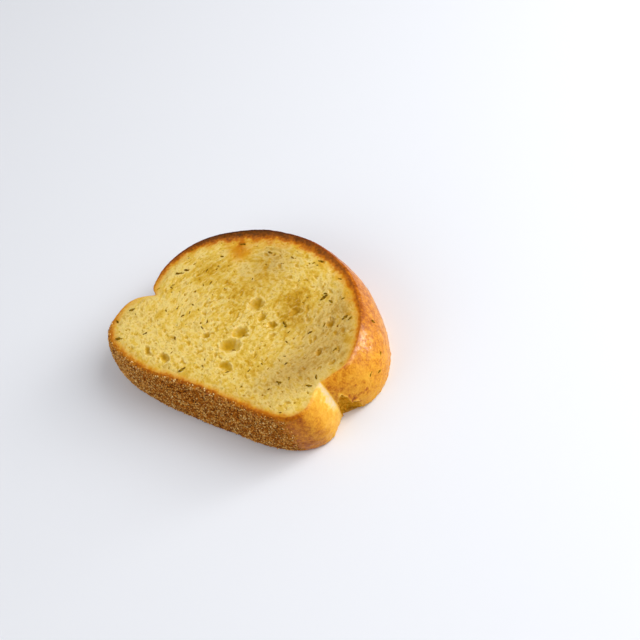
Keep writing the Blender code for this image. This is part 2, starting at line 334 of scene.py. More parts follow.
@dataclass(frozen=True)
class Loaf:
    """The form of the slice: a dome risen over a wider foot, with a crease on each side between."""

    thickness: float = 28.0
    dome_upper: Lobe = Lobe(4.6, -1.0, 63.3, 48.2, 1.91, 1.95, -11.5)
    foot_upper: Lobe = Lobe(-0.9, -26.4, 63.7, 23.3, 2.8, 4.2, 0.0)
    dome_lower: Lobe = Lobe(1.7, 4.6, 72.7, 46.0, 1.91, 1.95, -11.5)
    foot_lower: Lobe = Lobe(-3.8, -19.8, 70.0, 31.9, 2.8, 3.7, 0.0)
    heart_x: float = 1.0
    heart_y: float = -6.4
    swell: float = 2.8
    foot_swell_share: float = 0.6
    join_softness: float = 0.3
    crease_depth: float = 2.7
    crease_reach: float = 6.0
    wave: float = 0.3
    waves: tuple[tuple[float, float, float], ...] = ((7, 2.1, 0.0), (12, -4.3, 1.0))
    foot_point_share: float = 0.45  # of the points of a ring
    halvings: int = 24
    upper_edge: float = 1.5
    lower_edge: float = 1.2
    dip: float = 0.5
    dip_inset: float = 2.4
    flat_inset: float = 8.0

    def lobe_reach(self, lobe: Lobe, bearing: np.ndarray) -> np.ndarray:
        """Distances from the heart to a lobe's edge, by halving an interval.

        Args:
            lobe: The lobe, which holds the heart.
            bearing: Directions in radians.

        Returns:
            One distance for each bearing.
        """
        turn = math.radians(lobe.lean_deg)
        cos, sin = math.cos(turn), math.sin(turn)
        from_x, from_y = self.heart_x - lobe.x, self.heart_y - lobe.y
        start_x, start_y = cos * from_x + sin * from_y, cos * from_y - sin * from_x
        along_x = cos * np.cos(bearing) + sin * np.sin(bearing)
        along_y = cos * np.sin(bearing) - sin * np.cos(bearing)
        near, far = np.zeros_like(bearing), np.full_like(bearing, 2.0 * lobe.half_width)
        for _ in range(self.halvings):
            middle = (near + far) / 2
            x, y = start_x + along_x * middle, start_y + along_y * middle
            power = np.where(x < 0, lobe.left_power, lobe.right_power)
            inside = abs(x / lobe.half_width) ** power + abs(y / lobe.half_height) ** power < 1
            near, far = np.where(inside, middle, near), np.where(inside, far, middle)
        return near

    def radius(self, bearing: np.ndarray, rise: float) -> np.ndarray:
        """Distances from the heart to the crust at one height.

        Args:
            bearing: Directions in radians.
            rise: 0 at the lower cut face and 1 at the upper one.

        Returns:
            One distance for each bearing.
        """
        swell = self.swell * 4 * rise * (1 - rise)
        dome = self.dome_lower.towards(self.dome_upper, rise)
        foot = self.foot_lower.towards(self.foot_upper, rise)
        dome = replace(dome, half_width=dome.half_width + swell, half_height=dome.half_height + swell)
        foot_height = foot.half_height + self.foot_swell_share * swell
        foot = replace(foot, half_width=foot.half_width + swell, half_height=foot_height)
        to_dome, to_foot = self.lobe_reach(dome, bearing), self.lobe_reach(foot, bearing)
        apart = to_dome - to_foot
        outer = (to_dome + to_foot + np.sqrt(apart**2 + self.join_softness**2)) / 2
        wave = sum(np.sin(count * bearing + up * rise + start) for count, up, start in self.waves)
        return outer - self.crease_depth * bell(apart, 0.0, self.crease_reach) + self.wave * wave / 2

    def creases(self, rise: float) -> tuple[float, float]:
        """Bearings of the two creases, where one lobe passes into the other.

        Args:
            rise: 0 at the lower cut face and 1 at the upper one.

        Returns:
            The left and the right crease's bearings, in radians.
        """
        bearing = np.linspace(-1.25 * math.pi, 0.25 * math.pi, 1201)
        dome = self.dome_lower.towards(self.dome_upper, rise)
        foot = self.foot_lower.towards(self.foot_upper, rise)
        apart = self.lobe_reach(dome, bearing) - self.lobe_reach(foot, bearing)
        crossings = np.nonzero(np.diff(np.sign(apart)))[0]
        return float(bearing[crossings[0]]), float(bearing[crossings[-1]])

    def ring(self, rise: float, points: int) -> np.ndarray:
        """Bearings all round at one height, one of them on each crease.

        Args:
            rise: 0 at the lower cut face and 1 at the upper one.
            points: How many bearings.

        Returns:
            The bearings in radians, starting at the left crease.
        """
        left, right = self.creases(rise)
        foot_points = round(self.foot_point_share * points)
        foot = np.linspace(left, right, foot_points, endpoint=False)
        dome = np.linspace(right, left + 2 * math.pi, points - foot_points, endpoint=False)
        return np.concatenate((foot, dome))

    def place(self, bearing: np.ndarray, radius: np.ndarray) -> np.ndarray:
        """X and Y, one point a row, of points given by bearing and distance from the heart."""
        x, y = self.heart_x + radius * np.cos(bearing), self.heart_y + radius * np.sin(bearing)
        return np.stack((x, y), 1)

    def inset(self, places: np.ndarray, face: CutFace) -> np.ndarray:
        """How far points of a cut face lie inside its outline, towards the heart."""
        dx, dy = places[:, 0] - self.heart_x, places[:, 1] - self.heart_y
        return self.radius(np.arctan2(dy, dx), float(face.value)) - np.hypot(dx, dy)

    def face_height(self, inset: np.ndarray, face: CutFace) -> np.ndarray:
        """Height of the bare cut face, whose upper side dips beside the crust.

        Args:
            inset: How far each point lies inside the outline.
            face: The cut face.

        Returns:
            One height for each point.
        """
        if face is CutFace.LOWER:
            return np.zeros_like(inset)
        return self.thickness - self.dip * (1 - ease(self.dip_inset, self.flat_inset, inset))


LOAF = Loaf()
FACE_INSET = 4.5  # where a cut face's crumb piece meets the crust piece
RING_POINTS = 1120  # points round the crust, 0.38 mm apart
ON_FACE = -1.0  # bare height of a row of the crust that follows a cut face's relief
FOOT_TURN = math.radians(-22.0)  # direction in which the dough of the foot runs
FOOT_LINE = -18.0  # Y below which it does
FOOT_SEAM = (-26.0, -12.0)  # Y over which its streaks give way to those of the dome
STREAK_REACH = 30.0  # distance from the dome's middle at which its streaks have their stretch

BAKING = (
    Baking(-175.0, 0.10, 0.8, 0.30),
    Baking(-168.0, 0.40, 1.6, 0.42),
    Baking(-155.0, 0.52, 2.0, 0.49),
    Baking(-128.0, 0.57, 1.6, 0.54),
    Baking(-98.0, 0.58, 1.5, 0.59),
    Baking(-63.0, 0.57, 1.5, 0.59),
    Baking(-42.0, 0.60, 1.9, 0.58),
    Baking(-31.0, 0.46, 1.2, 0.58),
    Baking(-26.5, 0.28, 1.0, 0.51),
    Baking(-22.0, 0.12, 0.7, 0.38),
    Baking(-18.5, 0.04, 0.6, 0.33),
    Baking(-15.3, 0.02, 0.6, 0.24),
    Baking(-14.7, 0.20, 0.7, 0.52),
    Baking(-6.0, 0.40, 1.0, 0.46),
    Baking(8.0, 0.60, 1.9, 0.48),
    Baking(26.0, 0.69, 2.6, 0.53),
    Baking(50.0, 0.80, 3.1, 0.57),
    Baking(70.0, 0.84, 3.6, 0.66),
    Baking(103.0, 0.98, 4.2, 0.82),
    Baking(122.0, 1.00, 4.8, 0.88),
    Baking(148.0, 0.92, 3.2, 0.80),
    Baking(163.0, 0.70, 2.2, 0.68),
    Baking(174.0, 0.54, 1.7, 0.52),
    Baking(179.0, 0.48, 1.4, 0.43),
)

TEARS = (
    Scoop(-12.4, 7.0, 3.0, 10.0, 4.2),
    Scoop(-9.6, 2.4, 3.2, 7.0, 4.2),
    Scoop(-6.0, 0.0, 3.0, 2.4, 1.8),
)

LARGE_PORES = (
    Pore(5.3, -21.1, 4.4, 3.0, 1.7, 198),
    Pore(5.7, -12.9, 3.2, 2.8, 1.2, 60),
    Pore(3.9, 4.0, 3.3, 2.8, 1.5, 75),
    Pore(10.1, -32.2, 3.2, 2.1, 1.1, 165),
    Pore(-23.5, -39.3, 3.1, 1.6, 1.4, 162),
    Pore(-34.3, -39.0, 2.8, 1.2, 1.0, 145),
    Pore(18.7, -3.2, 2.0, 1.6, 1.4, 10),
    Pore(46.1, 8.0, 2.2, 1.7, 1.2, -60),
    Pore(-10.7, -20.8, 1.9, 1.4, 1.0, 40),
    Pore(11.1, -1.0, 2.1, 1.6, 1.1, -70),
    Pore(25.9, 7.6, 2.6, 2.0, 1.2, 50),
    Pore(50.2, -8.1, 1.9, 1.3, 1.2, -80),
)

# Each family's last number is how dark its floors are, partly painted shade; the last and darkest
# family are pin pores, painted shade in holes too small to show their walls.
PORE_FAMILIES = (
    PoreFamily(4200, (0.20, 0.42), (0.60, 1.00), (0.18, 0.40), 0.30),
    PoreFamily(3000, (0.45, 1.50), (0.26, 0.60), (0.13, 0.30), 0.33),
    PoreFamily(190, (1.10, 2.50), (0.30, 0.56), (0.26, 0.44), 0.52),
    PoreFamily(110, (0.40, 0.90), (0.40, 0.80), (0.80, 1.20), 1.00),
)

# Butter and toast stains, and dimness that darkens the crumb towards the right and the top: partly
# drier crumb, partly painted shade where the light falls off.
PATCHES = (
    Patch(-23.6, 28.6, 6.0, 0.20, 0.30),
    Patch(21.0, 13.5, 8.0, 0.32, dim=0.18),
    Patch(25.5, 4.5, 7.0, 0.26, dim=0.16),
    Patch(-34.4, -19.7, 7.0, 0.12),
    Patch(-38.0, -30.0, 18.0, -0.06),
    Patch(-32.6, 13.6, 9.0, 0.16, dim=0.12),
    Patch(-6.0, 12.0, 16.0, 0.12, dim=0.14),
    Patch(22.0, -26.0, 9.0, 0.20),
    Patch(58.0, 0.0, 17.0, -0.12, dim=0.44),
    Patch(49.0, 24.0, 14.0, -0.10, dim=0.36),
    Patch(47.1, -20.3, 12.0, -0.08, dim=0.36),
    Patch(-58.0, -26.0, 10.0, -0.14),
    Patch(-4.0, 30.0, 13.0, -0.10, dim=0.30),
    Patch(36.0, -32.0, 13.0, -0.08, dim=0.22),
    Patch(34.0, 4.0, 12.0, -0.04, dim=0.18),
)

HERBS = (
    Flake(-47.1, 6.3, 2.1, 40),
    Flake(-45.0, 9.2, 1.5, 25),
    Flake(-58.6, -21.5, 1.6, 55),
    Flake(-61.8, -30.5, 1.3, -10),
    Flake(-54.0, -38.7, 2.0, 15),
    Flake(-42.3, -31.2, 1.2, 60),
    Flake(-14.8, -13.5, 1.1, -70),
    Flake(-29.4, -14.9, 1.1, 85),
    Flake(-24.9, -27.9, 1.2, -30),
    Flake(-10.1, -41.7, 1.9, 50),
    Flake(25.1, -0.9, 2.0, -20),
    Flake(35.0, 19.5, 2.1, 60),
    Flake(39.8, 18.7, 1.4, 5),
    Flake(51.6, 13.1, 1.7, 85),
    Flake(54.2, 13.6, 1.4, 95),
    Flake(39.8, -0.4, 1.2, 70),
    Flake(57.0, -4.3, 1.1, 90),
    Flake(56.6, -20.5, 1.3, -45),
    Flake(56.1, -26.0, 1.5, 25),
    Flake(41.2, -29.9, 1.4, 20),
    Flake(21.4, 37.7, 1.6, -5),
    Flake(-7.8, 33.7, 1.4, 10),
    Flake(-24.9, 33.3, 1.5, 30),
    Flake(-31.4, 23.0, 1.2, 15),
)

CRUST_HERBS = ((22.9, 0.77), (11.5, 0.52), (5.7, 0.40), (2.1, 0.54))  # bearing and rise up the crust


def baking_at(bearing: np.ndarray, quality: str) -> np.ndarray:
    """One quality of the baking at each bearing, in even steps between its stations.

    Args:
        bearing: Directions in radians.
        quality: The name of a field of Baking.

    Returns:
        One value for each bearing.
    """
    stations = [b.bearing_deg for b in BAKING]
    values = [getattr(b, quality) for b in BAKING]
    return np.interp(np.degrees(bearing), stations, values, period=360.0)


def flow_turn(places: np.ndarray) -> np.ndarray:
    """Direction in radians in which the dough runs: round the dome, and down across the foot.

    Args:
        places: X and Y, one point a row.

    Returns:
        One direction for each point.
    """
    dome = LOAF.dome_upper
    round_dome = np.arctan2(places[:, 1] - dome.y, places[:, 0] - dome.x) + math.pi / 2
    return np.where(places[:, 1] < FOOT_LINE, FOOT_TURN, round_dome)


def streaks(places: np.ndarray, width: float, stretch: float, octaves: int, shift: float) -> np.ndarray:
    """Smooth noise drawn out along the dough's flow.

    Args:
        places: X and Y, one point a row.
        width: Width of a streak in millimetres.
        stretch: How many times longer than wide a streak is.
        octaves: Layers of finer streaks added.
        shift: Moves the noise, so that fields differ.

    Returns:
        One value for each point.
    """
    dome = LOAF.dome_upper
    dx, dy = places[:, 0] - dome.x, places[:, 1] - dome.y
    reach = np.hypot(dx, dy)
    turn = np.stack((dx, dy)) / np.maximum(reach, 1.0) * STREAK_REACH / stretch
    round_dome = roughen(np.stack((reach, turn[0], turn[1]), 1), width, octaves, shift)
    cos, sin = math.cos(FOOT_TURN), math.sin(FOOT_TURN)
    along, aside = places[:, 0] * cos + places[:, 1] * sin, places[:, 1] * cos - places[:, 0] * sin
    across_foot = roughen(np.stack((along / stretch, aside), 1), width, octaves, shift)
    share = ease(*FOOT_SEAM, places[:, 1])
    return round_dome * share + across_foot * (1 - share)


@dataclass
class FaceRelief:
    """Depth of the pores over one cut face, pressed one by one into fine grids.

    The named pores have a grid of their own, layer 0, so that the small ones of layer 1 also lie inside
    them. Where a size is given as a pair for the pores' walls, it is for these two layers.
    """

    face: CutFace
    seed: int
    cell: float = 0.14  # width of a grid's cell
    reach_x: float = 80.0
    reach_y: float = 60.0
    tries: int = 3  # spots drawn for each small pore, as many fall outside the face
    margin: float = 1.0  # crumb without pores beside the outline
    shrunk: tuple[float, float] = (0.55, 0.45)  # a pore's size at the outline, and its gain inwards
    shrunk_insets: tuple[float, float] = (1.5, 7.0)
    small_bias: float = 1.6  # above 1, most pores of a family are among its smaller ones
    stray: float = 0.5  # of a pore's direction from the dough's, in radians
    named_tone: float = 0.62
    named_spread: float = 1.38  # how much wider than in the plain solid the softer named pores are
    under_count: int = 26  # named pores of the lower face
    under_reach: tuple[float, float] = (60, 44)
    under_margin: float = 9.0
    under_half_lengths: tuple[float, float] = (1.4, 3.4)
    under_width_share: float = 0.62
    under_depths: tuple[float, float] = (0.8, 1.4)
    slant: float = 0.45  # how much darker a pore's one end is
    soft_depth: tuple[float, float] = (1.25, 0.9)  # powers of the bowl, higher for gentler walls
    soft_tone: tuple[float, float] = (0.85, 0.9)
    steep: float = 0.5  # that power in pores too small to show their walls
    soft_from: float = 0.6  # half length above which a pore shows its walls
    rimmed_from: float = 1.2  # half length above which it also has a pale rim, partly paler cell wall and partly painted highlight
    rim_at: float = 1.08
    rim_width: float = 0.12
    rim_tone: float = 0.3
    warps: tuple[Lumps, Lumps] = (Lumps(0.6, 1.6, 2, 3.0), Lumps(0.6, 1.6, 2, 9.0))
    wide_warps: tuple[Lumps, Lumps] = (Lumps(0.7, 4.0, 2, 13.0), Lumps(0.7, 4.0, 2, 19.0))
    swells: tuple[Lumps, Lumps] = (Lumps(0.20, 9.0, 2, 5.0), Lumps(0.12, 2.2, 2, 7.0))
    calm_insets: tuple[float, float] = (0.6, 2.6)  # the relief starts over these
    depth: np.ndarray = field(init=False)
    tone: np.ndarray = field(init=False)
    rim: np.ndarray = field(init=False)

    def __post_init__(self) -> None:
        """Presses the named pores of the upper face, then the small ones that cover both faces."""
        shape = (2, int(2 * self.reach_y / self.cell), int(2 * self.reach_x / self.cell))
        self.depth, self.tone, self.rim = np.zeros(shape), np.zeros(shape), np.zeros(shape)
        for pore in self.named_pores():
            self.press(pore.wider(self.named_spread), self.named_tone, 0)
        draw = np.random.default_rng(self.seed)
        for family in PORE_FAMILIES:
            self.sow(family, draw)

    def sow(self, family: PoreFamily, draw: np.random.Generator) -> None:
        """Presses one family of small pores, strewn over the face and smaller beside the crust.

        Args:
            family: The kind of pore.
            draw: The source of random numbers.
        """
        across = draw.uniform(-self.reach_x, self.reach_x, self.tries * family.count)
        up = draw.uniform(-self.reach_y, self.reach_y, self.tries * family.count)
        spots = np.stack((across, up), 1)
        inset = LOAF.inset(spots, self.face)
        inside = inset > self.margin
        spots, inset = spots[inside][: family.count], inset[inside][: family.count]
        turn = flow_turn(spots) + draw.normal(0.0, self.stray, len(spots))
        shortest, longest = family.half_lengths
        length = shortest + (longest - shortest) * draw.uniform(0, 1, len(spots)) ** self.small_bias
        length = length * (self.shrunk[0] + self.shrunk[1] * ease(*self.shrunk_insets, inset))
        width = length * draw.uniform(*family.width_shares, len(spots))
        deep = width * draw.uniform(*family.depth_shares, len(spots))
        for (x, y), a, b, d, t in zip(spots, length, width, deep, np.degrees(turn)):
            self.press(Pore(float(x), float(y), float(a), float(b), float(d), float(t)), family.tone, 1)

    def named_pores(self) -> list[Pore]:
        """Gathers the pores that stand out.

        Returns:
            Known ones for the upper face, and seeded ones for the lower.
        """
        if self.face is CutFace.UPPER:
            return list(LARGE_PORES)
        draw = np.random.default_rng(self.seed + 1)
        pores = []
        while len(pores) < self.under_count:
            x, y = (draw.uniform(-reach, reach) for reach in self.under_reach)
            if LOAF.inset(np.array([[x, y]]), self.face)[0] > self.under_margin:
                length = draw.uniform(*self.under_half_lengths)
                turn = draw.uniform(-180, 180)
                depth = draw.uniform(*self.under_depths)
                pores.append(Pore(x, y, length, self.under_width_share * length, depth, turn))
        return pores

    def press(self, pore: Pore, tone: float, layer: int) -> None:
        """Presses one oval pore into a layer of the face, where the deeper of two pores counts.

        Args:
            pore: Its place and sizes.
            tone: How dark its floor is, partly pooled butter and partly painted shade of the hollow,
                from 0 for the colour of the cell walls to 1.
            layer: 0 for the named pores and 1 for the small ones.
        """
        column, row = (pore.x + self.reach_x) / self.cell, (pore.y + self.reach_y) / self.cell
        span = int(1.3 * pore.half_length / self.cell) + 2
        left, low = int(column) - span, int(row) - span
        height, width = self.depth.shape[1:]
        if left < 0 or low < 0 or left + 2 * span >= width or low + 2 * span >= height:
            return
        window = layer, slice(low, low + 2 * span), slice(left, left + 2 * span)
        across = (np.arange(left, left + 2 * span) - column) * self.cell
        up = (np.arange(low, low + 2 * span) - row)[:, None] * self.cell
        cos, sin = math.cos(math.radians(pore.turn_deg)), math.sin(math.radians(pore.turn_deg))
        along = (across * cos + up * sin) / pore.half_length
        aside = (up * cos - across * sin) / pore.half_width
        reach = np.sqrt(along**2 + aside**2)
        bowl = np.clip(1.0 - reach**2, 0.0, 1.0)
        deep = toned = self.steep
        if pore.half_length > self.soft_from:
            deep, toned = self.soft_depth[layer], self.soft_tone[layer]
        # A darker floor and end: partly butter pooled in the pore, partly painted shade of the hollow.
        floor_tone = tone * bowl**toned * (1 + self.slant * along)
        self.depth[window] = np.maximum(self.depth[window], pore.depth * bowl**deep)
        self.tone[window] = np.maximum(self.tone[window], floor_tone)
        # A pale rim round the larger pores: partly paler cell wall, partly painted highlight.
        if pore.half_length > self.rimmed_from:
            self.rim[window] = np.maximum(self.rim[window], bell(reach, self.rim_at, self.rim_width))

    def read(self, grid: np.ndarray, places: np.ndarray) -> np.ndarray:
        """Reads a grid at points, blended between the four cells round each.

        Args:
            grid: One layer of the relief.
            places: X and Y, one point a row.

        Returns:
            One value for each point.
        """
        column = np.clip((places[:, 0] + self.reach_x) / self.cell, 0, grid.shape[1] - 2)
        row = np.clip((places[:, 1] + self.reach_y) / self.cell, 0, grid.shape[0] - 2)
        c, r = column.astype(int), row.astype(int)
        u, v = column - c, row - r
        low = grid[r, c] * (1 - u) + grid[r, c + 1] * u
        high = grid[r + 1, c] * (1 - u) + grid[r + 1, c + 1] * u
        return low * (1 - v) + high * v

    def surface(self, places: np.ndarray, inset: np.ndarray) -> dict[str, np.ndarray]:
        """Height and look of the cut face at points.

        Args:
            places: X and Y, one point a row.
            inset: How far each lies inside the outline.

        Returns:
            The height, and the values of the attribute pit, which the crumb's colour reads: above 0 in
            a pore, whose darker floor is partly painted shade, and below 0 on the pale rim round it,
            partly painted highlight.
        """
        warp = np.stack([lumps.at(places) for lumps in self.warps], 1)
        wide_warp = np.stack([lumps.at(places) for lumps in self.wide_warps], 1)
        bent = places + warp, places + warp + wide_warp
        depth = self.read(self.depth[1], bent[0]) + self.read(self.depth[0], bent[1])
        pit = np.maximum(self.read(self.tone[1], bent[0]), self.read(self.tone[0], bent[1]))
        rim = np.maximum(self.read(self.rim[1], bent[0]), self.read(self.rim[0], bent[1]))
        shown = ease(*self.calm_insets, inset)
        swell = sum(lumps.at(places) for lumps in self.swells)
        drop = shown * (depth - swell)
        bare = LOAF.face_height(inset, self.face)
        height = bare - drop if self.face is CutFace.UPPER else np.maximum(drop, 0.0)
        pit = pit - self.rim_tone * rim * np.clip(1 - 3 * pit, 0, 1)
        return {"height": height, "pit": pit * shown}


class OutlineDistance:
    """True distance from points of a cut face to its outline."""

    def __init__(self, face: CutFace) -> None:
        """Gathers the outline's points.

        Args:
            face: The cut face.
        """
        bearing = LOAF.ring(float(face.value), 2 * RING_POINTS)
        outline = LOAF.place(bearing, LOAF.radius(bearing, float(face.value)))
        self.tree = KDTree(len(outline))
        for i, (x, y) in enumerate(outline.tolist()):
            self.tree.insert((x, y, 0.0), i)
        self.tree.balance()

    def __call__(self, places: np.ndarray) -> np.ndarray:
        """Distances of points, one for each row of X and Y."""
        return np.array([self.tree.find((x, y, 0.0))[2] for x, y in places.tolist()])


@dataclass(frozen=True)
class Toasting:
    """Browning and butter of a cut face: a dark rim, a golden halo inside it, and butter all over."""

    rim_waver: Lumps = Lumps(0.45, 5.0, 3, 2.0)  # of the rim's width, as a share
    rim_fade: tuple[float, float] = (0.28, 0.20)  # a share of the width, and millimetres
    halo: float = 0.58  # as a share of the rim's char
    halo_fade: tuple[float, float] = (0.45, 0.9)
    specks: Lumps = Lumps(0.32, 1.3, 2, 4.0)
    butter: float = 0.50
    butter_lumps: tuple[Lumps, Lumps] = (Lumps(0.15, 13.0, 2, 8.0), Lumps(0.13, 5.5, 2, 14.0))
    streaked_butter: float = 0.27
    streak_width: float = 2.2
    streak_stretch: float = 1.7
    tray_toast: float = 0.16  # of the lower face, which has lain on the tray
    tray_lumps: tuple[Lumps, Lumps] = (Lumps(0.22, 14.0, 3, 12.0), Lumps(0.10, 1.5, 2, 1.0))

    def look(self, places: np.ndarray, distance: np.ndarray, face: CutFace) -> dict[str, np.ndarray]:
        """Values of the attributes toast, butter and dim.

        Args:
            places: X and Y, one point a row.
            distance: How far each lies from the outline.
            face: The cut face, of which the upper one has stains and darker patches, partly painted
                shade, and the lower one is toasted all over.

        Returns:
            The values of each attribute.
        """
        bearing = np.arctan2(places[:, 1] - LOAF.heart_y, places[:, 0] - LOAF.heart_x)
        char = baking_at(bearing, "char")
        width = baking_at(bearing, "width") * (1 + self.rim_waver.at(places))
        rim = char / (1 + np.exp((distance - width) / (self.rim_fade[0] * width + self.rim_fade[1])))
        inwards = np.clip(distance - width, 0, None)
        halo = self.halo * char * np.exp(-inwards / (self.halo_fade[0] * width + self.halo_fade[1]))
        toast = np.maximum(rim, halo) * (1 + self.specks.at(places))
        butter = self.butter
        for lumps in self.butter_lumps:
            butter = butter + lumps.at(places)
        flowing = streaks(places, self.streak_width, self.streak_stretch, 3, 6.0)
        butter = butter + self.streaked_butter * flowing
        dim = np.zeros(len(places))
        if face is CutFace.UPPER:
            for patch in PATCHES:
                away = np.hypot(places[:, 0] - patch.x, places[:, 1] - patch.y)
                stain = bell(away, 0.0, patch.radius)
                butter = butter + patch.butter * stain
                toast = toast + patch.toast * stain
                dim = dim + patch.dim * stain
        else:
            on_tray = self.tray_toast
            for lumps in self.tray_lumps:
                on_tray = on_tray + lumps.at(places)
            toast = np.maximum(toast, on_tray)
        return {"toast": np.clip(toast, 0, 1), "butter": np.clip(butter, 0, 1), "dim": dim}


TOASTING = Toasting()


def make_piece(
    name: str,
    places: np.ndarray,
    faces: list[tuple[int, ...]],
    looks: dict[str, np.ndarray],
    finishes: list[bpy.types.Material],
) -> bpy.types.Object:
    """Makes a shaded object from points and faces.

    Args:
        name: The object's name.
        places: Points in millimetres, one a row.
        faces: Point numbers of each face, seen anticlockwise from outside.
        looks: Values of each point attribute that the finish reads.
        finishes: The materials, the first of which is on all faces.

    Returns:
        The object, linked to the scene.
    """
    mesh = bpy.data.meshes.new(name)
    mesh.from_pydata((places * MM).tolist(), [], faces)
    set_values(mesh, looks)
    for finish in finishes:
        mesh.materials.append(finish)
    mesh.shade_smooth()
    return show(name, mesh)


def crease_edges(piece: bpy.types.Object, rings: list[np.ndarray]) -> None:
    """Marks as sharp the edges that join two points of one ring.

    Args:
        piece: The object.
        rings: Point numbers of each ring.
    """
    mesh = piece.data
    ends = np.empty(2 * len(mesh.edges), dtype=np.int32)
    mesh.edges.foreach_get("vertices", ends)
    ends = ends.reshape(-1, 2)
    sharp = np.zeros(len(ends), dtype=bool)
    for ring in rings:
        member = np.zeros(len(mesh.vertices), dtype=bool)
        member[ring] = True
        sharp |= member[ends].all(axis=1)
    mesh.attributes.new("sharp_edge", "BOOLEAN", "EDGE").data.foreach_set("value", sharp)


def hand_in(piece: bpy.types.Object) -> bpy.types.Object:
    """Fixes a finished piece to the slice's body, in place of the plain solid, and reports it.

    Args:
        piece: The piece.

    Returns:
        The same piece.
    """
    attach(piece, BODY)
    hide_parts(NODE)
    LOG.info("%s: %d triangles", piece.name, sum(len(p.vertices) - 2 for p in piece.data.polygons))
    return piece


def crumb_colour(tree: bpy.types.NodeTree) -> bpy.types.NodeSocket:
    """Colour of a buttered and toasted cut face, which the crumb and the edge of the crust share.

    Args:
        tree: The material's node tree.

    Returns:
        The socket that gives the colour.
    """
    coords = add_node(tree, "ShaderNodeTexCoord").outputs["Object"]
    read = {
        name: add_node(tree, "ShaderNodeAttribute", attribute_name=name).outputs["Fac"]
        for name in ("pit", "toast", "butter", "dim")
    }
    fleck_size, fleck_share = 1.3, 0.44  # butter lies in flecks of this width in millimetres
    fleck = add_node(
        tree, "ShaderNodeTexNoise", {"Vector": coords, "Scale": per_mm(fleck_size), "Detail": 4.0}
    )
    stray = add_node(
        tree,
        "ShaderNodeMath",
        {0: fleck.outputs["Fac"], 1: fleck_share, 2: -fleck_share / 2},
        operation="MULTIPLY_ADD",
    )
    soaked = add_node(tree, "ShaderNodeMath", {0: read["butter"], 1: stray.outputs[0]}, operation="ADD")
    crumb = add_node(
        tree,
        "ShaderNodeValToRGB",
        {0: soaked.outputs[0]},
        stops=(
            (0.0, "#b8923e"),
            (0.22, "#ccaa50"),
            (0.42, "#e5ca78"),
            (0.58, "#dcb84e"),
            (0.80, "#c89a22"),
            (1.0, "#a3770c"),
        ),
    )
    # Pore floors go a deeper gold: partly pooled butter, partly painted shade of the hollows.
    shade = add_node(
        tree, "ShaderNodeValToRGB", {0: read["pit"]}, stops=((0.02, 0.0), (0.24, 0.40), (0.56, 0.95))
    )
    wall_share = -1.4  # the pale rims, partly cell walls and partly painted highlight, are where the attribute pit is below 0
    wall = add_node(
        tree, "ShaderNodeMath", {0: read["pit"], 1: wall_share}, operation="MULTIPLY", use_clamp=True
    )
    walled = add_node(
        tree,
        "ShaderNodeMix",
        {0: wall.outputs[0], 6: crumb.outputs["Color"], 7: linear("#f6e2a2")},
        data_type="RGBA",
    )
    pitted = add_node(
        tree,
        "ShaderNodeMix",
        {0: shade.outputs["Color"], 6: walled.outputs[2], 7: linear("#ba8c08")},
        data_type="RGBA",
    )
    # The deepest floors and the pin pores go darkest, as painted shade in the holes.
    dark = add_node(
        tree, "ShaderNodeValToRGB", {0: read["pit"]}, stops=((0.56, 0.0), (0.76, 0.45), (0.95, 0.95))
    )
    hollowed = add_node(
        tree,
        "ShaderNodeMix",
        {0: dark.outputs["Color"], 6: pitted.outputs[2], 7: linear("#6a4400")},
        data_type="RGBA",
    )
    grit_size, grit_share = 0.55, 0.20  # the toast is uneven from one cell wall to the next
    grit = add_node(
        tree, "ShaderNodeTexNoise", {"Vector": coords, "Scale": per_mm(grit_size), "Detail": 2.0}
    )
    scorch = add_node(
        tree,
        "ShaderNodeMath",
        {0: grit.outputs["Fac"], 1: grit_share, 2: -grit_share / 2},
        operation="MULTIPLY_ADD",
    )
    patchy = add_node(tree, "ShaderNodeMath", {0: scorch.outputs[0], 1: 1.0}, operation="ADD")
    browned = add_node(
        tree, "ShaderNodeMath", {0: read["toast"], 1: patchy.outputs[0]}, operation="MULTIPLY"
    )
    toasted = add_node(
        tree,
        "ShaderNodeValToRGB",
        {0: browned.outputs[0]},
        stops=(
            (0.0, "#d9ac40"),
            (0.14, "#d4961c"),
            (0.28, "#c87e0e"),
            (0.42, "#b26004"),
            (0.60, "#8b4200"),
            (0.80, "#652700"),
            (1.0, "#3e1500"),
        ),
    )
    cover = add_node(
        tree, "ShaderNodeValToRGB", {0: read["toast"]}, stops=((0.02, 0.0), (0.15, 0.5), (0.36, 0.95))
    )
    # Dimness mixes in a darker brown: partly drier crumb, partly painted shade.
    dimmed = add_node(
        tree,
        "ShaderNodeMix",
        {0: read["dim"], 6: hollowed.outputs[2], 7: linear("#844c00")},
        data_type="RGBA",
    )
    result = add_node(
        tree,
        "ShaderNodeMix",
        {0: cover.outputs["Color"], 6: dimmed.outputs[2], 7: toasted.outputs["Color"]},
        data_type="RGBA",
    )
    return result.outputs[2]


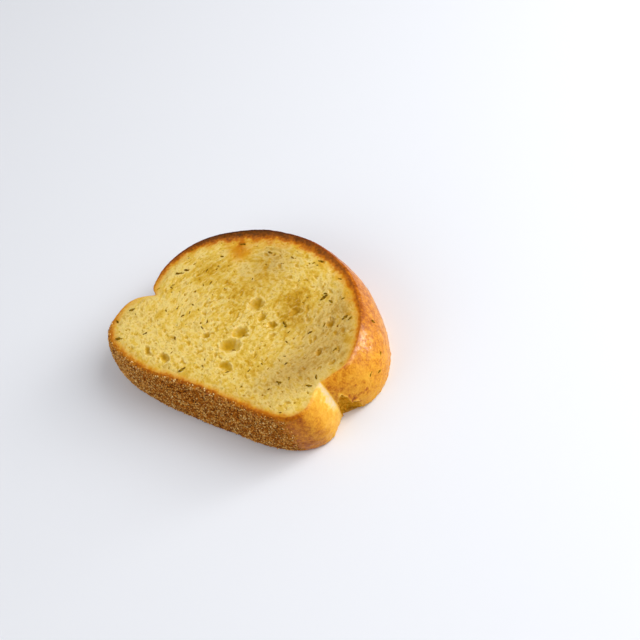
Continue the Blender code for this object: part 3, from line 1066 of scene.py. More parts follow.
@dataclass(frozen=True)
class ButteredCrumb:
    """Open wheat crumb, soaked in garlic butter and toasted: soft, translucent, with a faint sheen."""

    name: str = "buttered_wheat_crumb"
    roughness: float = 0.58
    gloss: float = 0.10  # loose cell walls throw little light back
    glow: float = 0.22  # share of the light that goes through the cell walls
    glow_reach: float = 1.0 * MM
    glow_spread: tuple[float, float, float] = (1.0, 0.6, 0.25)  # red light goes furthest
    grain: float = 0.45  # width in millimetres of the torn cell walls
    grain_height: float = 0.12
    grain_strength: float = 0.35

    def material(self) -> bpy.types.Material:
        """Builds the material.

        Returns:
            The material, which reads the attributes pit, toast, butter and dim.
        """
        values = {
            "Roughness": self.roughness,
            "Specular IOR Level": self.gloss,
            "Subsurface Weight": self.glow,
            "Subsurface Radius": self.glow_spread,
            "Subsurface Scale": self.glow_reach,
        }
        material = new_finish(self.name, values)
        tree = material.node_tree
        shader = tree.nodes["Principled BSDF"]
        tree.links.new(crumb_colour(tree), shader.inputs["Base Color"])
        coords = add_node(tree, "ShaderNodeTexCoord").outputs["Object"]
        fibre = add_node(
            tree, "ShaderNodeTexNoise", {"Vector": coords, "Scale": per_mm(self.grain), "Detail": 3.0}
        )
        relief = {
            "Strength": self.grain_strength,
            "Distance": self.grain_height * MM,
            "Height": fibre.outputs["Fac"],
        }
        bump = add_node(tree, "ShaderNodeBump", relief)
        tree.links.new(bump.outputs["Normal"], shader.inputs["Normal"])
        return material


@dataclass(frozen=True)
class BakedCrust:
    """Skin of a bloomer loaf, baked golden to brown: thin and satin, with freckles and wrinkles."""

    name: str = "baked_wheat_crust"
    roughness: float = 0.30
    sole_roughness: float = 0.35  # added on the floury sole
    gloss: float = 0.18
    glow: float = 0.08
    glow_reach: float = 1.0 * MM
    glow_spread: tuple[float, float, float] = (1.0, 0.5, 0.2)
    freckle: float = 0.9  # width of a freckle in millimetres
    freckle_share: float = 0.36  # of the whole range of browning
    blotch: float = 4.0
    blotch_share: float = 0.14
    wrinkle: float = 0.9
    wrinkle_height: float = 0.14
    wrinkle_strength: float = 0.55
    film_roughness: float = 0.2  # of the butter that has run down over the shoulder

    def material(self) -> bpy.types.Material:
        """Builds the material.

        Returns:
            The material, with the cut edge's colour where the attribute wall is 0.
        """
        values = {
            "Specular IOR Level": self.gloss,
            "Coat Roughness": self.film_roughness,
            "Subsurface Weight": self.glow,
            "Subsurface Radius": self.glow_spread,
            "Subsurface Scale": self.glow_reach,
        }
        material = new_finish(self.name, values)
        tree = material.node_tree
        shader = tree.nodes["Principled BSDF"]
        coords = add_node(tree, "ShaderNodeTexCoord").outputs["Object"]
        read = {
            name: add_node(tree, "ShaderNodeAttribute", attribute_name=name).outputs["Fac"]
            for name in ("wall", "bake", "torn", "sole", "film")
        }
        speck = add_node(
            tree, "ShaderNodeTexNoise", {"Vector": coords, "Scale": per_mm(self.freckle), "Detail": 3.0}
        )
        cloud = add_node(
            tree, "ShaderNodeTexNoise", {"Vector": coords, "Scale": per_mm(self.blotch), "Detail": 4.0}
        )
        specks = add_node(
            tree,
            "ShaderNodeMath",
            {0: speck.outputs["Fac"], 1: self.freckle_share, 2: -self.freckle_share / 2},
            operation="MULTIPLY_ADD",
        )
        clouds = add_node(
            tree,
            "ShaderNodeMath",
            {0: cloud.outputs["Fac"], 1: self.blotch_share, 2: -self.blotch_share / 2},
            operation="MULTIPLY_ADD",
        )
        uneven = add_node(
            tree, "ShaderNodeMath", {0: specks.outputs[0], 1: clouds.outputs[0]}, operation="ADD"
        )
        baked = add_node(
            tree, "ShaderNodeMath", {0: read["bake"], 1: uneven.outputs[0]}, operation="ADD"
        )
        skin = add_node(
            tree,
            "ShaderNodeValToRGB",
            {0: baked.outputs[0]},
            stops=(
                (0.0, "#dec49a"),
                (0.16, "#eec052"),
                (0.33, "#e2a632"),
                (0.47, "#d69220"),
                (0.56, "#c2740e"),
                (0.66, "#a05208"),
                (0.80, "#743302"),
                (1.0, "#3f1702"),
            ),
        )
        pulled = add_node(
            tree,
            "ShaderNodeValToRGB",
            {0: speck.outputs["Fac"]},
            stops=((0.3, "#b87a08"), (0.5, "#d69a14"), (0.7, "#eeba3a")),
        )
        torn = add_node(
            tree,
            "ShaderNodeMix",
            {0: read["torn"], 6: skin.outputs["Color"], 7: pulled.outputs["Color"]},
            data_type="RGBA",
        )
        under_grains = add_node(
            tree,
            "ShaderNodeValToRGB",
            {0: speck.outputs["Fac"]},
            stops=((0.36, "#381602"), (0.5, "#94500c"), (0.66, "#c67a20")),
        )
        floured = add_node(
            tree,
            "ShaderNodeMix",
            {0: read["sole"], 6: torn.outputs[2], 7: under_grains.outputs["Color"]},
            data_type="RGBA",
        )
        colour = add_node(
            tree,
            "ShaderNodeMix",
            {0: read["wall"], 6: crumb_colour(tree), 7: floured.outputs[2]},
            data_type="RGBA",
        )
        tree.links.new(colour.outputs[2], shader.inputs["Base Color"])
        dull = add_node(
            tree,
            "ShaderNodeMath",
            {0: read["sole"], 1: self.sole_roughness, 2: self.roughness},
            operation="MULTIPLY_ADD",
        )
        tree.links.new(dull.outputs[0], shader.inputs["Roughness"])
        tree.links.new(read["film"], shader.inputs["Coat Weight"])
        fold = add_node(
            tree,
            "ShaderNodeTexNoise",
            {"Vector": coords, "Scale": per_mm(self.wrinkle), "Detail": 4.0, "Distortion": 0.6},
        )
        relief = {
            "Strength": self.wrinkle_strength,
            "Distance": self.wrinkle_height * MM,
            "Height": fold.outputs["Fac"],
        }
        bump = add_node(tree, "ShaderNodeBump", relief)
        tree.links.new(bump.outputs["Normal"], shader.inputs["Normal"])
        return material


@dataclass(frozen=True)
class ToastedSemolina:
    """Coarse semolina baked onto the sole: dry, matt grains from straw yellow to scorched brown."""

    name: str = "toasted_semolina"
    roughness: float = 0.7
    gloss: float = 0.08
    mottle: float = 0.6  # width in millimetres of the paler and darker sides of a grain

    def material(self) -> bpy.types.Material:
        """Builds the material.

        Returns:
            The material, which reads each grain's own tint.
        """
        values = {"Roughness": self.roughness, "Specular IOR Level": self.gloss}
        material = new_finish(self.name, values)
        tree = material.node_tree
        shader = tree.nodes["Principled BSDF"]
        tint = add_node(tree, "ShaderNodeAttribute", attribute_name="tint").outputs["Fac"]
        grain = add_node(
            tree,
            "ShaderNodeValToRGB",
            {0: tint},
            stops=(
                (0.0, "#64340c"),
                (0.3, "#aa661e"),
                (0.62, "#da963c"),
                (0.88, "#f0bc64"),
                (1.0, "#ffe2a0"),
            ),
        )
        coords = add_node(tree, "ShaderNodeTexCoord").outputs["Object"]
        cloud = add_node(
            tree, "ShaderNodeTexNoise", {"Vector": coords, "Scale": per_mm(self.mottle), "Detail": 2.0}
        )
        shade = add_node(
            tree, "ShaderNodeValToRGB", {0: cloud.outputs["Fac"]}, stops=((0.3, 0.72), (0.7, 1.0))
        )
        colour = add_node(
            tree,
            "ShaderNodeMix",
            {0: 1.0, 6: grain.outputs["Color"], 7: shade.outputs["Color"]},
            data_type="RGBA",
            blend_type="MULTIPLY",
        )
        tree.links.new(colour.outputs[2], shader.inputs["Base Color"])
        return material


@dataclass(frozen=True)
class DriedHerb:
    """Crumbled dried parsley and oregano, soaked in butter: thin dark olive scraps, hardly glossy."""

    name: str = "dried_herb"
    roughness: float = 0.55
    gloss: float = 0.06
    vein: float = 1.2  # width in millimetres of the lighter and darker parts of a scrap

    def material(self) -> bpy.types.Material:
        """Builds the material.

        Returns:
            The material, the same on every scrap.
        """
        values = {"Roughness": self.roughness, "Specular IOR Level": self.gloss}
        material = new_finish(self.name, values)
        tree = material.node_tree
        shader = tree.nodes["Principled BSDF"]
        coords = add_node(tree, "ShaderNodeTexCoord").outputs["Object"]
        vein = add_node(
            tree, "ShaderNodeTexNoise", {"Vector": coords, "Scale": per_mm(self.vein), "Detail": 3.0}
        )
        leaf = add_node(
            tree,
            "ShaderNodeValToRGB",
            {0: vein.outputs["Fac"]},
            stops=((0.3, "#563c00"), (0.5, "#7c5800"), (0.7, "#9e780a")),
        )
        tree.links.new(leaf.outputs["Color"], shader.inputs["Base Color"])
        return material


@dataclass(frozen=True)
class MattPaper:
    """Seamless matt paper under the slice, which gives a clean soft shadow."""

    name: str = "matt_paper"
    colour: str = "#e6e8ed"
    roughness: float = 0.9

    def material(self) -> bpy.types.Material:
        """Builds the material."""
        values = {"Base Color": linear(self.colour), "Roughness": self.roughness}
        return new_finish(self.name, values)


@dataclass
class CrumbSlab:
    """The open crumb of one cut face, down to a little under its pores."""

    name: str
    relief: FaceRelief
    spacing: float  # between the points of its surface
    depth: float = 3.4
    draw_in: float = 0.4  # how far its hidden underside is set in
    half_x: float = 76.0
    half_y: float = 58.0
    shake: float = 0.12  # of a point from its place in the grid, as a share of the spacing
    seed: int = 17
    weld: float = 1e-4

    def build(self, finish: ButteredCrumb) -> bpy.types.Object:
        """Makes the slab and dresses it.

        Args:
            finish: The crumb's finish.

        Returns:
            The finished piece.
        """
        face = self.relief.face
        rise = float(face.value)
        bearing = LOAF.ring(rise, RING_POINTS)
        edge = LOAF.place(bearing, LOAF.radius(bearing, rise) - FACE_INSET)
        flat = np.concatenate((edge, self.inner_points(face)))
        loop = [(i, (i + 1) % RING_POINTS) for i in range(RING_POINTS)]
        found = delaunay_2d_cdt([Vector(p) for p in flat.tolist()], loop, [], 1, self.weld)
        source = np.array([ids[0] for ids in found[3]])
        faces = [tuple(int(source[i]) for i in corners) for corners in found[2]]
        inner_inset = LOAF.inset(flat[RING_POINTS:], face)
        inset = np.concatenate((np.full(RING_POINTS, FACE_INSET), inner_inset))
        surface = self.relief.surface(flat, inset)
        looks = {"pit": surface["pit"]}
        looks.update(TOASTING.look(flat, OutlineDistance(face)(flat), face))
        level = LOAF.thickness - self.depth if face is CutFace.UPPER else self.depth
        inner = LOAF.place(bearing, LOAF.radius(bearing, rise) - FACE_INSET - self.draw_in)
        heart = np.array([[LOAF.heart_x, LOAF.heart_y]])
        hidden = np.concatenate((inner, heart))
        shown_places = np.column_stack((flat, surface["height"]))
        hidden_places = np.column_stack((hidden, np.full(len(hidden), level)))
        places = np.concatenate((shown_places, hidden_places))
        first, centre = len(flat), len(places) - 1
        for i, j in loop:
            faces.append((j, i, first + i, first + j))
            faces.append((first + j, first + i, centre))
        if face is CutFace.LOWER:
            faces = [corners[::-1] for corners in faces]
        looks = {look: np.pad(values, (0, len(hidden))) for look, values in looks.items()}
        piece = make_piece(self.name, places, faces, looks, [finish.material()])
        crease_edges(piece, [np.arange(RING_POINTS)])
        return hand_in(piece)

    def inner_points(self, face: CutFace) -> np.ndarray:
        """Lays a slightly shaken hexagonal grid.

        Args:
            face: The cut face.

        Returns:
            X and Y of its points inside the slab's edge, one a row.
        """
        rows = np.arange(-self.half_y, self.half_y, self.spacing * math.sqrt(0.75))
        columns = np.arange(-self.half_x, self.half_x, self.spacing)
        x = columns[None, :] + (np.arange(len(rows)) % 2)[:, None] * self.spacing / 2
        y = np.repeat(rows[:, None], len(columns), axis=1)
        grid = np.stack((x.ravel(), y.ravel()), 1)
        draw = np.random.default_rng(self.seed)
        grid = grid + draw.uniform(-self.shake, self.shake, grid.shape) * self.spacing
        return grid[LOAF.inset(grid, face) > FACE_INSET + 0.5 * self.spacing]


@dataclass
class CrustShell:
    """The skin of the loaf, with the outer stretch of both cut faces, as one closed ring."""

    upper: FaceRelief
    lower: FaceRelief

    # How many rows each part of it takes.
    upper_face_rows: int = 9
    upper_edge_rows: int = 7
    wall_rows: int = 54
    lower_edge_rows: int = 6
    lower_face_rows: int = 8

    # The browning of its skin. Bearings are in degrees, and heights and insets in millimetres.
    skin_insets: tuple[float, float] = (1.5, 0.55)  # the cut edge's crumb gives way to skin over these
    skin_ragged: float = 0.35
    ragged: Lumps = Lumps(1.0, 1.4, 2, 2.5)
    rim_char: float = 0.22  # the dark rim of the upper face goes on over the edge, by its char
    rim_char_from: float = 0.25
    rim_char_reach: float = 1.3
    edge_fall: float = 0.4  # share of the way down that counts as distance from the outline
    shoulder: Stretch = Stretch(-18.0, -6.0, 40.0, 60.0)
    shoulder_heights: tuple[float, float] = (15.0, 24.0)
    shoulder_brown: float = 0.03
    clouds: Lumps = Lumps(0.05, 8.0, 3, 6.5)
    freckles: Lumps = Lumps(0.08, 2.2, 2, 1.5)
    freckled_at: tuple[float, float] = (-6.0, 5.0)  # middle and reach of a freckled spot, in bearing
    freckled_height: tuple[float, float] = (11.0, 5.5)
    freckled_brown: float = 0.5
    mottle: Lumps = Lumps(1.0, 2.4, 3, 11.0)
    strip_at: float = -16.0  # a pale strip of skin where the foot meets the crease
    strip_reach: float = 2.7
    strip_side: tuple[float, float] = (-14.9, -15.5)
    strip_heights: tuple[float, float] = (8.0, 15.0)
    strip_pale: float = 0.9
    strip_ragged: Lumps = Lumps(2.4, 3.0, 3, 17.0)
    lip_pale: float = 0.45
    base_pale: float = 0.5  # the dome's skin beside the tray
    base_heights: tuple[float, float] = (1.6, 0.3)
    base_bearings: tuple[float, float] = (-15.0, -12.0)
    film_at: tuple[float, float] = (9.0, 9.0)  # middle and reach of the butter film, in bearing
    film_heights: tuple[float, float] = (17.0, 23.0)
    film_cover: float = 0.65
    film_lumps: Lumps = Lumps(1.3, 2.0, 2, 33.0)
    sole_bearings: Stretch = Stretch(-164.0, -152.0, -41.0, -34.0)
    sole_ragged: float = 5.0
    sole_heights: tuple[float, float] = (26.8, 24.2)
    sole_waver: float = 1.6
    charred: tuple[float, float] = (34.0, 330.0)  # bearings between which the toasted edges are dry
    torn_depths: tuple[float, float] = (0.05, 0.6)  # the tear's own colour comes in over these

    # Its relief.
    relief_insets: tuple[float, float] = (2.2, 0.2)
    tear_ragged: tuple[Lumps, Lumps] = (Lumps(0.34, 3.0, 3, 13.0), Lumps(0.2, 0.9, 1, 3.0))
    lip_bearings: tuple[float, float] = (-14.6, -13.6)
    lip_at: tuple[float, float] = (-0.14, 0.12)
    lip_height: float = 0.35
    wrinkles: tuple[Lumps, Lumps] = (Lumps(0.22, 6.0, 3, 21.0), Lumps(0.10, 1.5, 2, 23.0))
    grain_bed: Lumps = Lumps(0.28, 1.3, 2, 25.0)
    sunk: float = 0.8  # the shoulder's softer edge
    sunk_bearings: Stretch = Stretch(-18.0, -8.0, 40.0, 70.0)
    sunk_heights: tuple[float, float] = (18.0, 29.0)
    skirt: float = 0.45  # unevenness beside the tray
    skirt_heights: tuple[float, float] = (5.0, 1.0)
    skirt_lumps: Lumps = Lumps(1.0, 2.0, 2, 27.0)

    def rows(self) -> list[tuple[float, float, float]]:
        """Lays out the rows of points, from the upper face over the crust to the lower one.

        Returns:
            Each row's rise, inset and bare height.
        """
        top = LOAF.thickness - LOAF.dip
        plan = []
        for inset in np.linspace(FACE_INSET, LOAF.upper_edge, self.upper_face_rows)[:-1]:
            outwards = float(ease(FACE_INSET - 1.0, LOAF.upper_edge, inset))
            rise = 1.0 - (1.0 - top / LOAF.thickness) * outwards
            plan.append((rise, float(inset), ON_FACE))
        for turn in np.linspace(0.5 * math.pi, 0.0, self.upper_edge_rows)[:-1]:
            height = top - LOAF.upper_edge * (1 - math.sin(turn))
            plan.append((height / LOAF.thickness, LOAF.upper_edge * (1 - math.cos(turn)), height))
        for height in np.linspace(top - LOAF.upper_edge, LOAF.lower_edge, self.wall_rows):
            plan.append((float(height) / LOAF.thickness, 0.0, float(height)))
        for turn in np.linspace(0.0, 0.5 * math.pi, self.lower_edge_rows)[1:]:
            height = LOAF.lower_edge * (1 - math.sin(turn))
            plan.append((height / LOAF.thickness, LOAF.lower_edge * (1 - math.cos(turn)), height))
        for inset in np.linspace(LOAF.lower_edge, FACE_INSET, self.lower_face_rows)[1:]:
            plan.append((0.0, float(inset), ON_FACE))
        return plan

    def build(self, finish: BakedCrust, dry: BakedCrust) -> bpy.types.Object:
        """Makes the shell and dresses it.

        Args:
            finish: The finish of the loaf's skin.
            dry: The duller finish of the toasted edge of both cut faces, the sole and the tear.

        Returns:
            The finished piece.
        """
        plan = self.rows()
        places, bearings, insets = [], [], []
        to_outline = {face: OutlineDistance(face) for face in CutFace}
        looks: dict[str, list[np.ndarray]] = {name: [] for name in ("pit", "toast", "butter", "dim")}
        for rise, inset, bare_height in plan:
            bearing = LOAF.ring(rise, RING_POINTS)
            flat = LOAF.place(bearing, LOAF.radius(bearing, rise) - inset)
            face = CutFace.UPPER if rise > 0.5 else CutFace.LOWER
            on_face = bare_height == ON_FACE
            inset_all = np.full(RING_POINTS, inset)
            relief = self.upper if face is CutFace.UPPER else self.lower
            surface = relief.surface(flat, inset_all)
            height = surface["height"] if on_face else np.full(RING_POINTS, bare_height)
            places.append(np.column_stack((flat, height)))
            drop = 0.0 if on_face else min(bare_height, LOAF.thickness - LOAF.dip - bare_height)
            distance = np.full(RING_POINTS, inset + self.edge_fall * drop)
            if on_face:
                distance = to_outline[face](flat)
            toast = TOASTING.look(flat, distance, face)
            for name in looks:
                looks[name].append(surface[name] if name in surface else toast[name])
            bearings.append(bearing)
            insets.append(inset_all)
        points, bearing = np.concatenate(places), np.concatenate(bearings)
        values = {name: np.concatenate(rows) for name, rows in looks.items()}
        values.update(self.wall_look(points, bearing, np.concatenate(insets)))
        points = self.carve(points, bearing, np.concatenate(insets), values)
        faces = []
        rows = len(plan)
        for row in range(rows):
            here, below = row * RING_POINTS, (row + 1) % rows * RING_POINTS
            for i in range(RING_POINTS):
                j = (i + 1) % RING_POINTS
                faces.append((here + i, below + i, below + j, here + j))
        piece = make_piece("crust", points, faces, values, [finish.material(), dry.material()])
        on_face = np.repeat([bare_height == ON_FACE for _, _, bare_height in plan], RING_POINTS)
        on_edge = np.repeat([inset > 0 for _, inset, _ in plan], RING_POINTS)
        around = np.degrees(bearing) % 360.0
        charred = (around > self.charred[0]) & (around < self.charred[1])
        is_dry = on_face | (on_edge & charred) | (values["sole"] > 0.5) | (values["torn"] > 0.5)
        piece.data.polygons.foreach_set("material_index", is_dry.astype(np.int32))
        last = (rows - 1) * RING_POINTS
        crease_edges(piece, [np.arange(RING_POINTS), np.arange(last, last + RING_POINTS)])
        return hand_in(piece)

    def wall_look(
        self, points: np.ndarray, bearing: np.ndarray, inset: np.ndarray
    ) -> dict[str, np.ndarray]:
        """Values of the attributes that the crust's colour reads.

        Args:
            points: Places before the fine relief, one a row.
            bearing: Each point's direction from the heart.
            inset: How far each lies inside the outline.

        Returns:
            The attributes wall, bake, torn, sole and film.
        """
        height, degrees = points[:, 2], signed_degrees(bearing)
        edge_noise = self.ragged.at(points)
        wall = ease(*self.skin_insets, inset + self.skin_ragged * edge_noise)
        depth, lip = self.torn(points, bearing)
        sole_top = ease(*self.sole_heights, height + self.sole_waver * edge_noise)
        sole = self.sole(points, bearing) * sole_top
        film = bell(degrees, *self.film_at) * ease(*self.film_heights, height) * wall
        film = film * np.clip(self.film_cover + self.film_lumps.at(points), 0, 1)
        return {
            "wall": wall,
            "bake": self.browning(points, bearing, lip),
            "torn": ease(*self.torn_depths, depth),
            "sole": sole,
            "film": film,
        }

    def browning(self, points: np.ndarray, bearing: np.ndarray, lip: np.ndarray) -> np.ndarray:
        """How brown the skin is at points.

        Args:
            points: Places before the fine relief, one a row.
            bearing: Each point's direction from the heart.
            lip: Nearness of each to the lip of skin above the tear, which has stayed pale.

        Returns:
            One value for each point, from 0 for pale dough to 1 for nearly black.
        """
        height, degrees = points[:, 2], signed_degrees(bearing)
        bake = baking_at(bearing, "wall")
        under_rim = np.clip(LOAF.thickness - LOAF.dip - height, 0, None)
        char = baking_at(bearing, "char") - self.rim_char_from
        bake = bake + self.rim_char * char * np.exp(-under_rim / self.rim_char_reach)
        shoulder = self.shoulder.at(degrees) * ease(*self.shoulder_heights, height)
        bake = bake + self.shoulder_brown * shoulder
        bake = bake + self.clouds.at(points) + self.freckles.at(points)
        from_strip = degrees - self.strip_at + self.strip_ragged.at(points)
        strip = ease(*self.strip_side, degrees) * bell(from_strip, 0.0, self.strip_reach, 4)
        strip = strip * ease(*self.strip_heights, height)
        bake = bake * (1 - self.strip_pale * strip)
        freckled = bell(degrees, *self.freckled_at) * bell(height, *self.freckled_height)
        bake = bake + self.freckled_brown * freckled * np.clip(self.mottle.at(points), 0, 1)
        by_tray, on_dome = ease(*self.base_heights, height), ease(*self.base_bearings, degrees)
        bake = bake * (1 - self.lip_pale * lip) * (1 - self.base_pale * by_tray * on_dome)
        return np.clip(bake, 0, 1)

    def sole(self, points: np.ndarray, bearing: np.ndarray) -> np.ndarray:
        """Share of the sole at points: 1 on it and 0 past its two ends, which are ragged."""
        ragged_degrees = signed_degrees(bearing) + self.sole_ragged * self.ragged.at(points)
        return self.sole_bearings.at(ragged_degrees)

    def torn(self, points: np.ndarray, bearing: np.ndarray) -> tuple[np.ndarray, np.ndarray]:
        """How the skin has torn at points.

        Args:
            points: Places, one a row.
            bearing: Each point's direction from the heart.

        Returns:
            The depth of the tear, and the nearness to the curled lip of skin above it.
        """
        depth, inside = np.zeros(len(points)), np.full(len(points), -1.0)
        ragged = sum(lumps.at(points) for lumps in self.tear_ragged)
        for scoop in TEARS:
            at = math.radians(scoop.bearing_deg)
            rise = scoop.height / LOAF.thickness
            reach = float(LOAF.radius(np.array([at]), rise)[0])
            turn = (bearing - at + math.pi) % (2 * math.pi) - math.pi
            along, up = turn * reach / scoop.along, (points[:, 2] - scoop.height) / scoop.up
            bowl = 1.0 - along**2 - up**2 + ragged
            depth = np.maximum(depth, scoop.into * np.sqrt(np.clip(bowl, 0.0, 1.0)))
            inside = np.maximum(inside, bowl)
        return depth, ease(*self.lip_bearings, np.degrees(bearing)) * bell(inside, *self.lip_at)

    def carve(
        self, points: np.ndarray, bearing: np.ndarray, inset: np.ndarray, values: dict[str, np.ndarray]
    ) -> np.ndarray:
        """Moves the crust's points in and out by its wrinkles, blisters, grain bed and tears.

        Args:
            points: Places before the fine relief, one a row.
            bearing: Each point's direction from the heart.
            inset: How far each lies inside the outline.
            values: The attributes, of which wall and sole say where each relief is.

        Returns:
            The moved places.
        """
        height, sole = points[:, 2], values["sole"]
        on_wall = ease(*self.relief_insets, inset)
        depth, lip = self.torn(points, bearing)
        wrinkle = sum(lumps.at(points) for lumps in self.wrinkles)
        out = wrinkle * (1 - sole) + self.grain_bed.at(points) * sole - depth + self.lip_height * lip
        sunk = self.sunk * self.sunk_bearings.at(np.degrees(bearing))
        out = out - sunk * ease(*self.sunk_heights, height)
        skirt = ease(*self.skirt_heights, height) * (1 - sole)
        out = out + self.skirt * skirt * self.skirt_lumps.at(points)
        moved = points.copy()
        moved[:, 0] += on_wall * out * np.cos(bearing)
        moved[:, 1] += on_wall * out * np.sin(bearing)
        return moved


def start_tree(name: str, sizes: tuple[str, ...]) -> bpy.types.NodeTree:
    """Starts a Geometry Nodes tree that takes and gives geometry.

    Args:
        name: The tree's name.
        sizes: Names of its inputs for sizes, beside which it has the input Seed.

    Returns:
        The tree.
    """
    tree = bpy.data.node_groups.new(name, "GeometryNodeTree")
    face = tree.interface
    face.new_socket("Geometry", in_out="INPUT", socket_type="NodeSocketGeometry")
    for size in sizes:
        face.new_socket(size, in_out="INPUT", socket_type="NodeSocketFloat")
    face.new_socket("Seed", in_out="INPUT", socket_type="NodeSocketInt")
    face.new_socket("Geometry", in_out="OUTPUT", socket_type="NodeSocketGeometry")
    return tree


def end_tree(
    tree: bpy.types.NodeTree, instances: bpy.types.NodeSocket, finish: bpy.types.Material
) -> None:
    """Ends a tree with its instances as plain geometry in one material.

    Args:
        tree: The tree.
        instances: The socket that gives them.
        finish: The material.
    """
    real = add_node(tree, "GeometryNodeRealizeInstances", {"Geometry": instances})
    dressed = add_node(
        tree, "GeometryNodeSetMaterial", {"Geometry": real.outputs["Geometry"], "Material": finish}
    )
    add_node(tree, "NodeGroupOutput", {"Geometry": dressed.outputs["Geometry"]})


def grow(
    base: bpy.types.Object,
    tree: bpy.types.NodeTree,
    inputs: dict[str, Any],
    name: str,
    material: bpy.types.Material,
) -> bpy.types.Object:
    """Runs a Geometry Nodes tree on a base and keeps only what it makes, as a plain mesh.

    Args:
        base: The object that the tree works on, which is removed.
        tree: The tree.
        inputs: Values of the tree's inputs, by name.
        name: The new object's name.
        material: The new object's material.

    Returns:
        The new object, linked to the scene.
    """
    modifier = base.modifiers.new(tree.name, "NODES")
    modifier.node_group = tree
    for item in tree.interface.items_tree:
        if item.in_out == "INPUT" and item.name in inputs:
            modifier[item.identifier] = inputs[item.name]
    grown = base.evaluated_get(bpy.context.evaluated_depsgraph_get())
    mesh = bpy.data.meshes.new_from_object(grown)
    mesh.name = name
    mesh.materials.clear()
    mesh.materials.append(material)
    mesh.shade_smooth()
    bpy.data.objects.remove(base)
    return show(name, mesh)


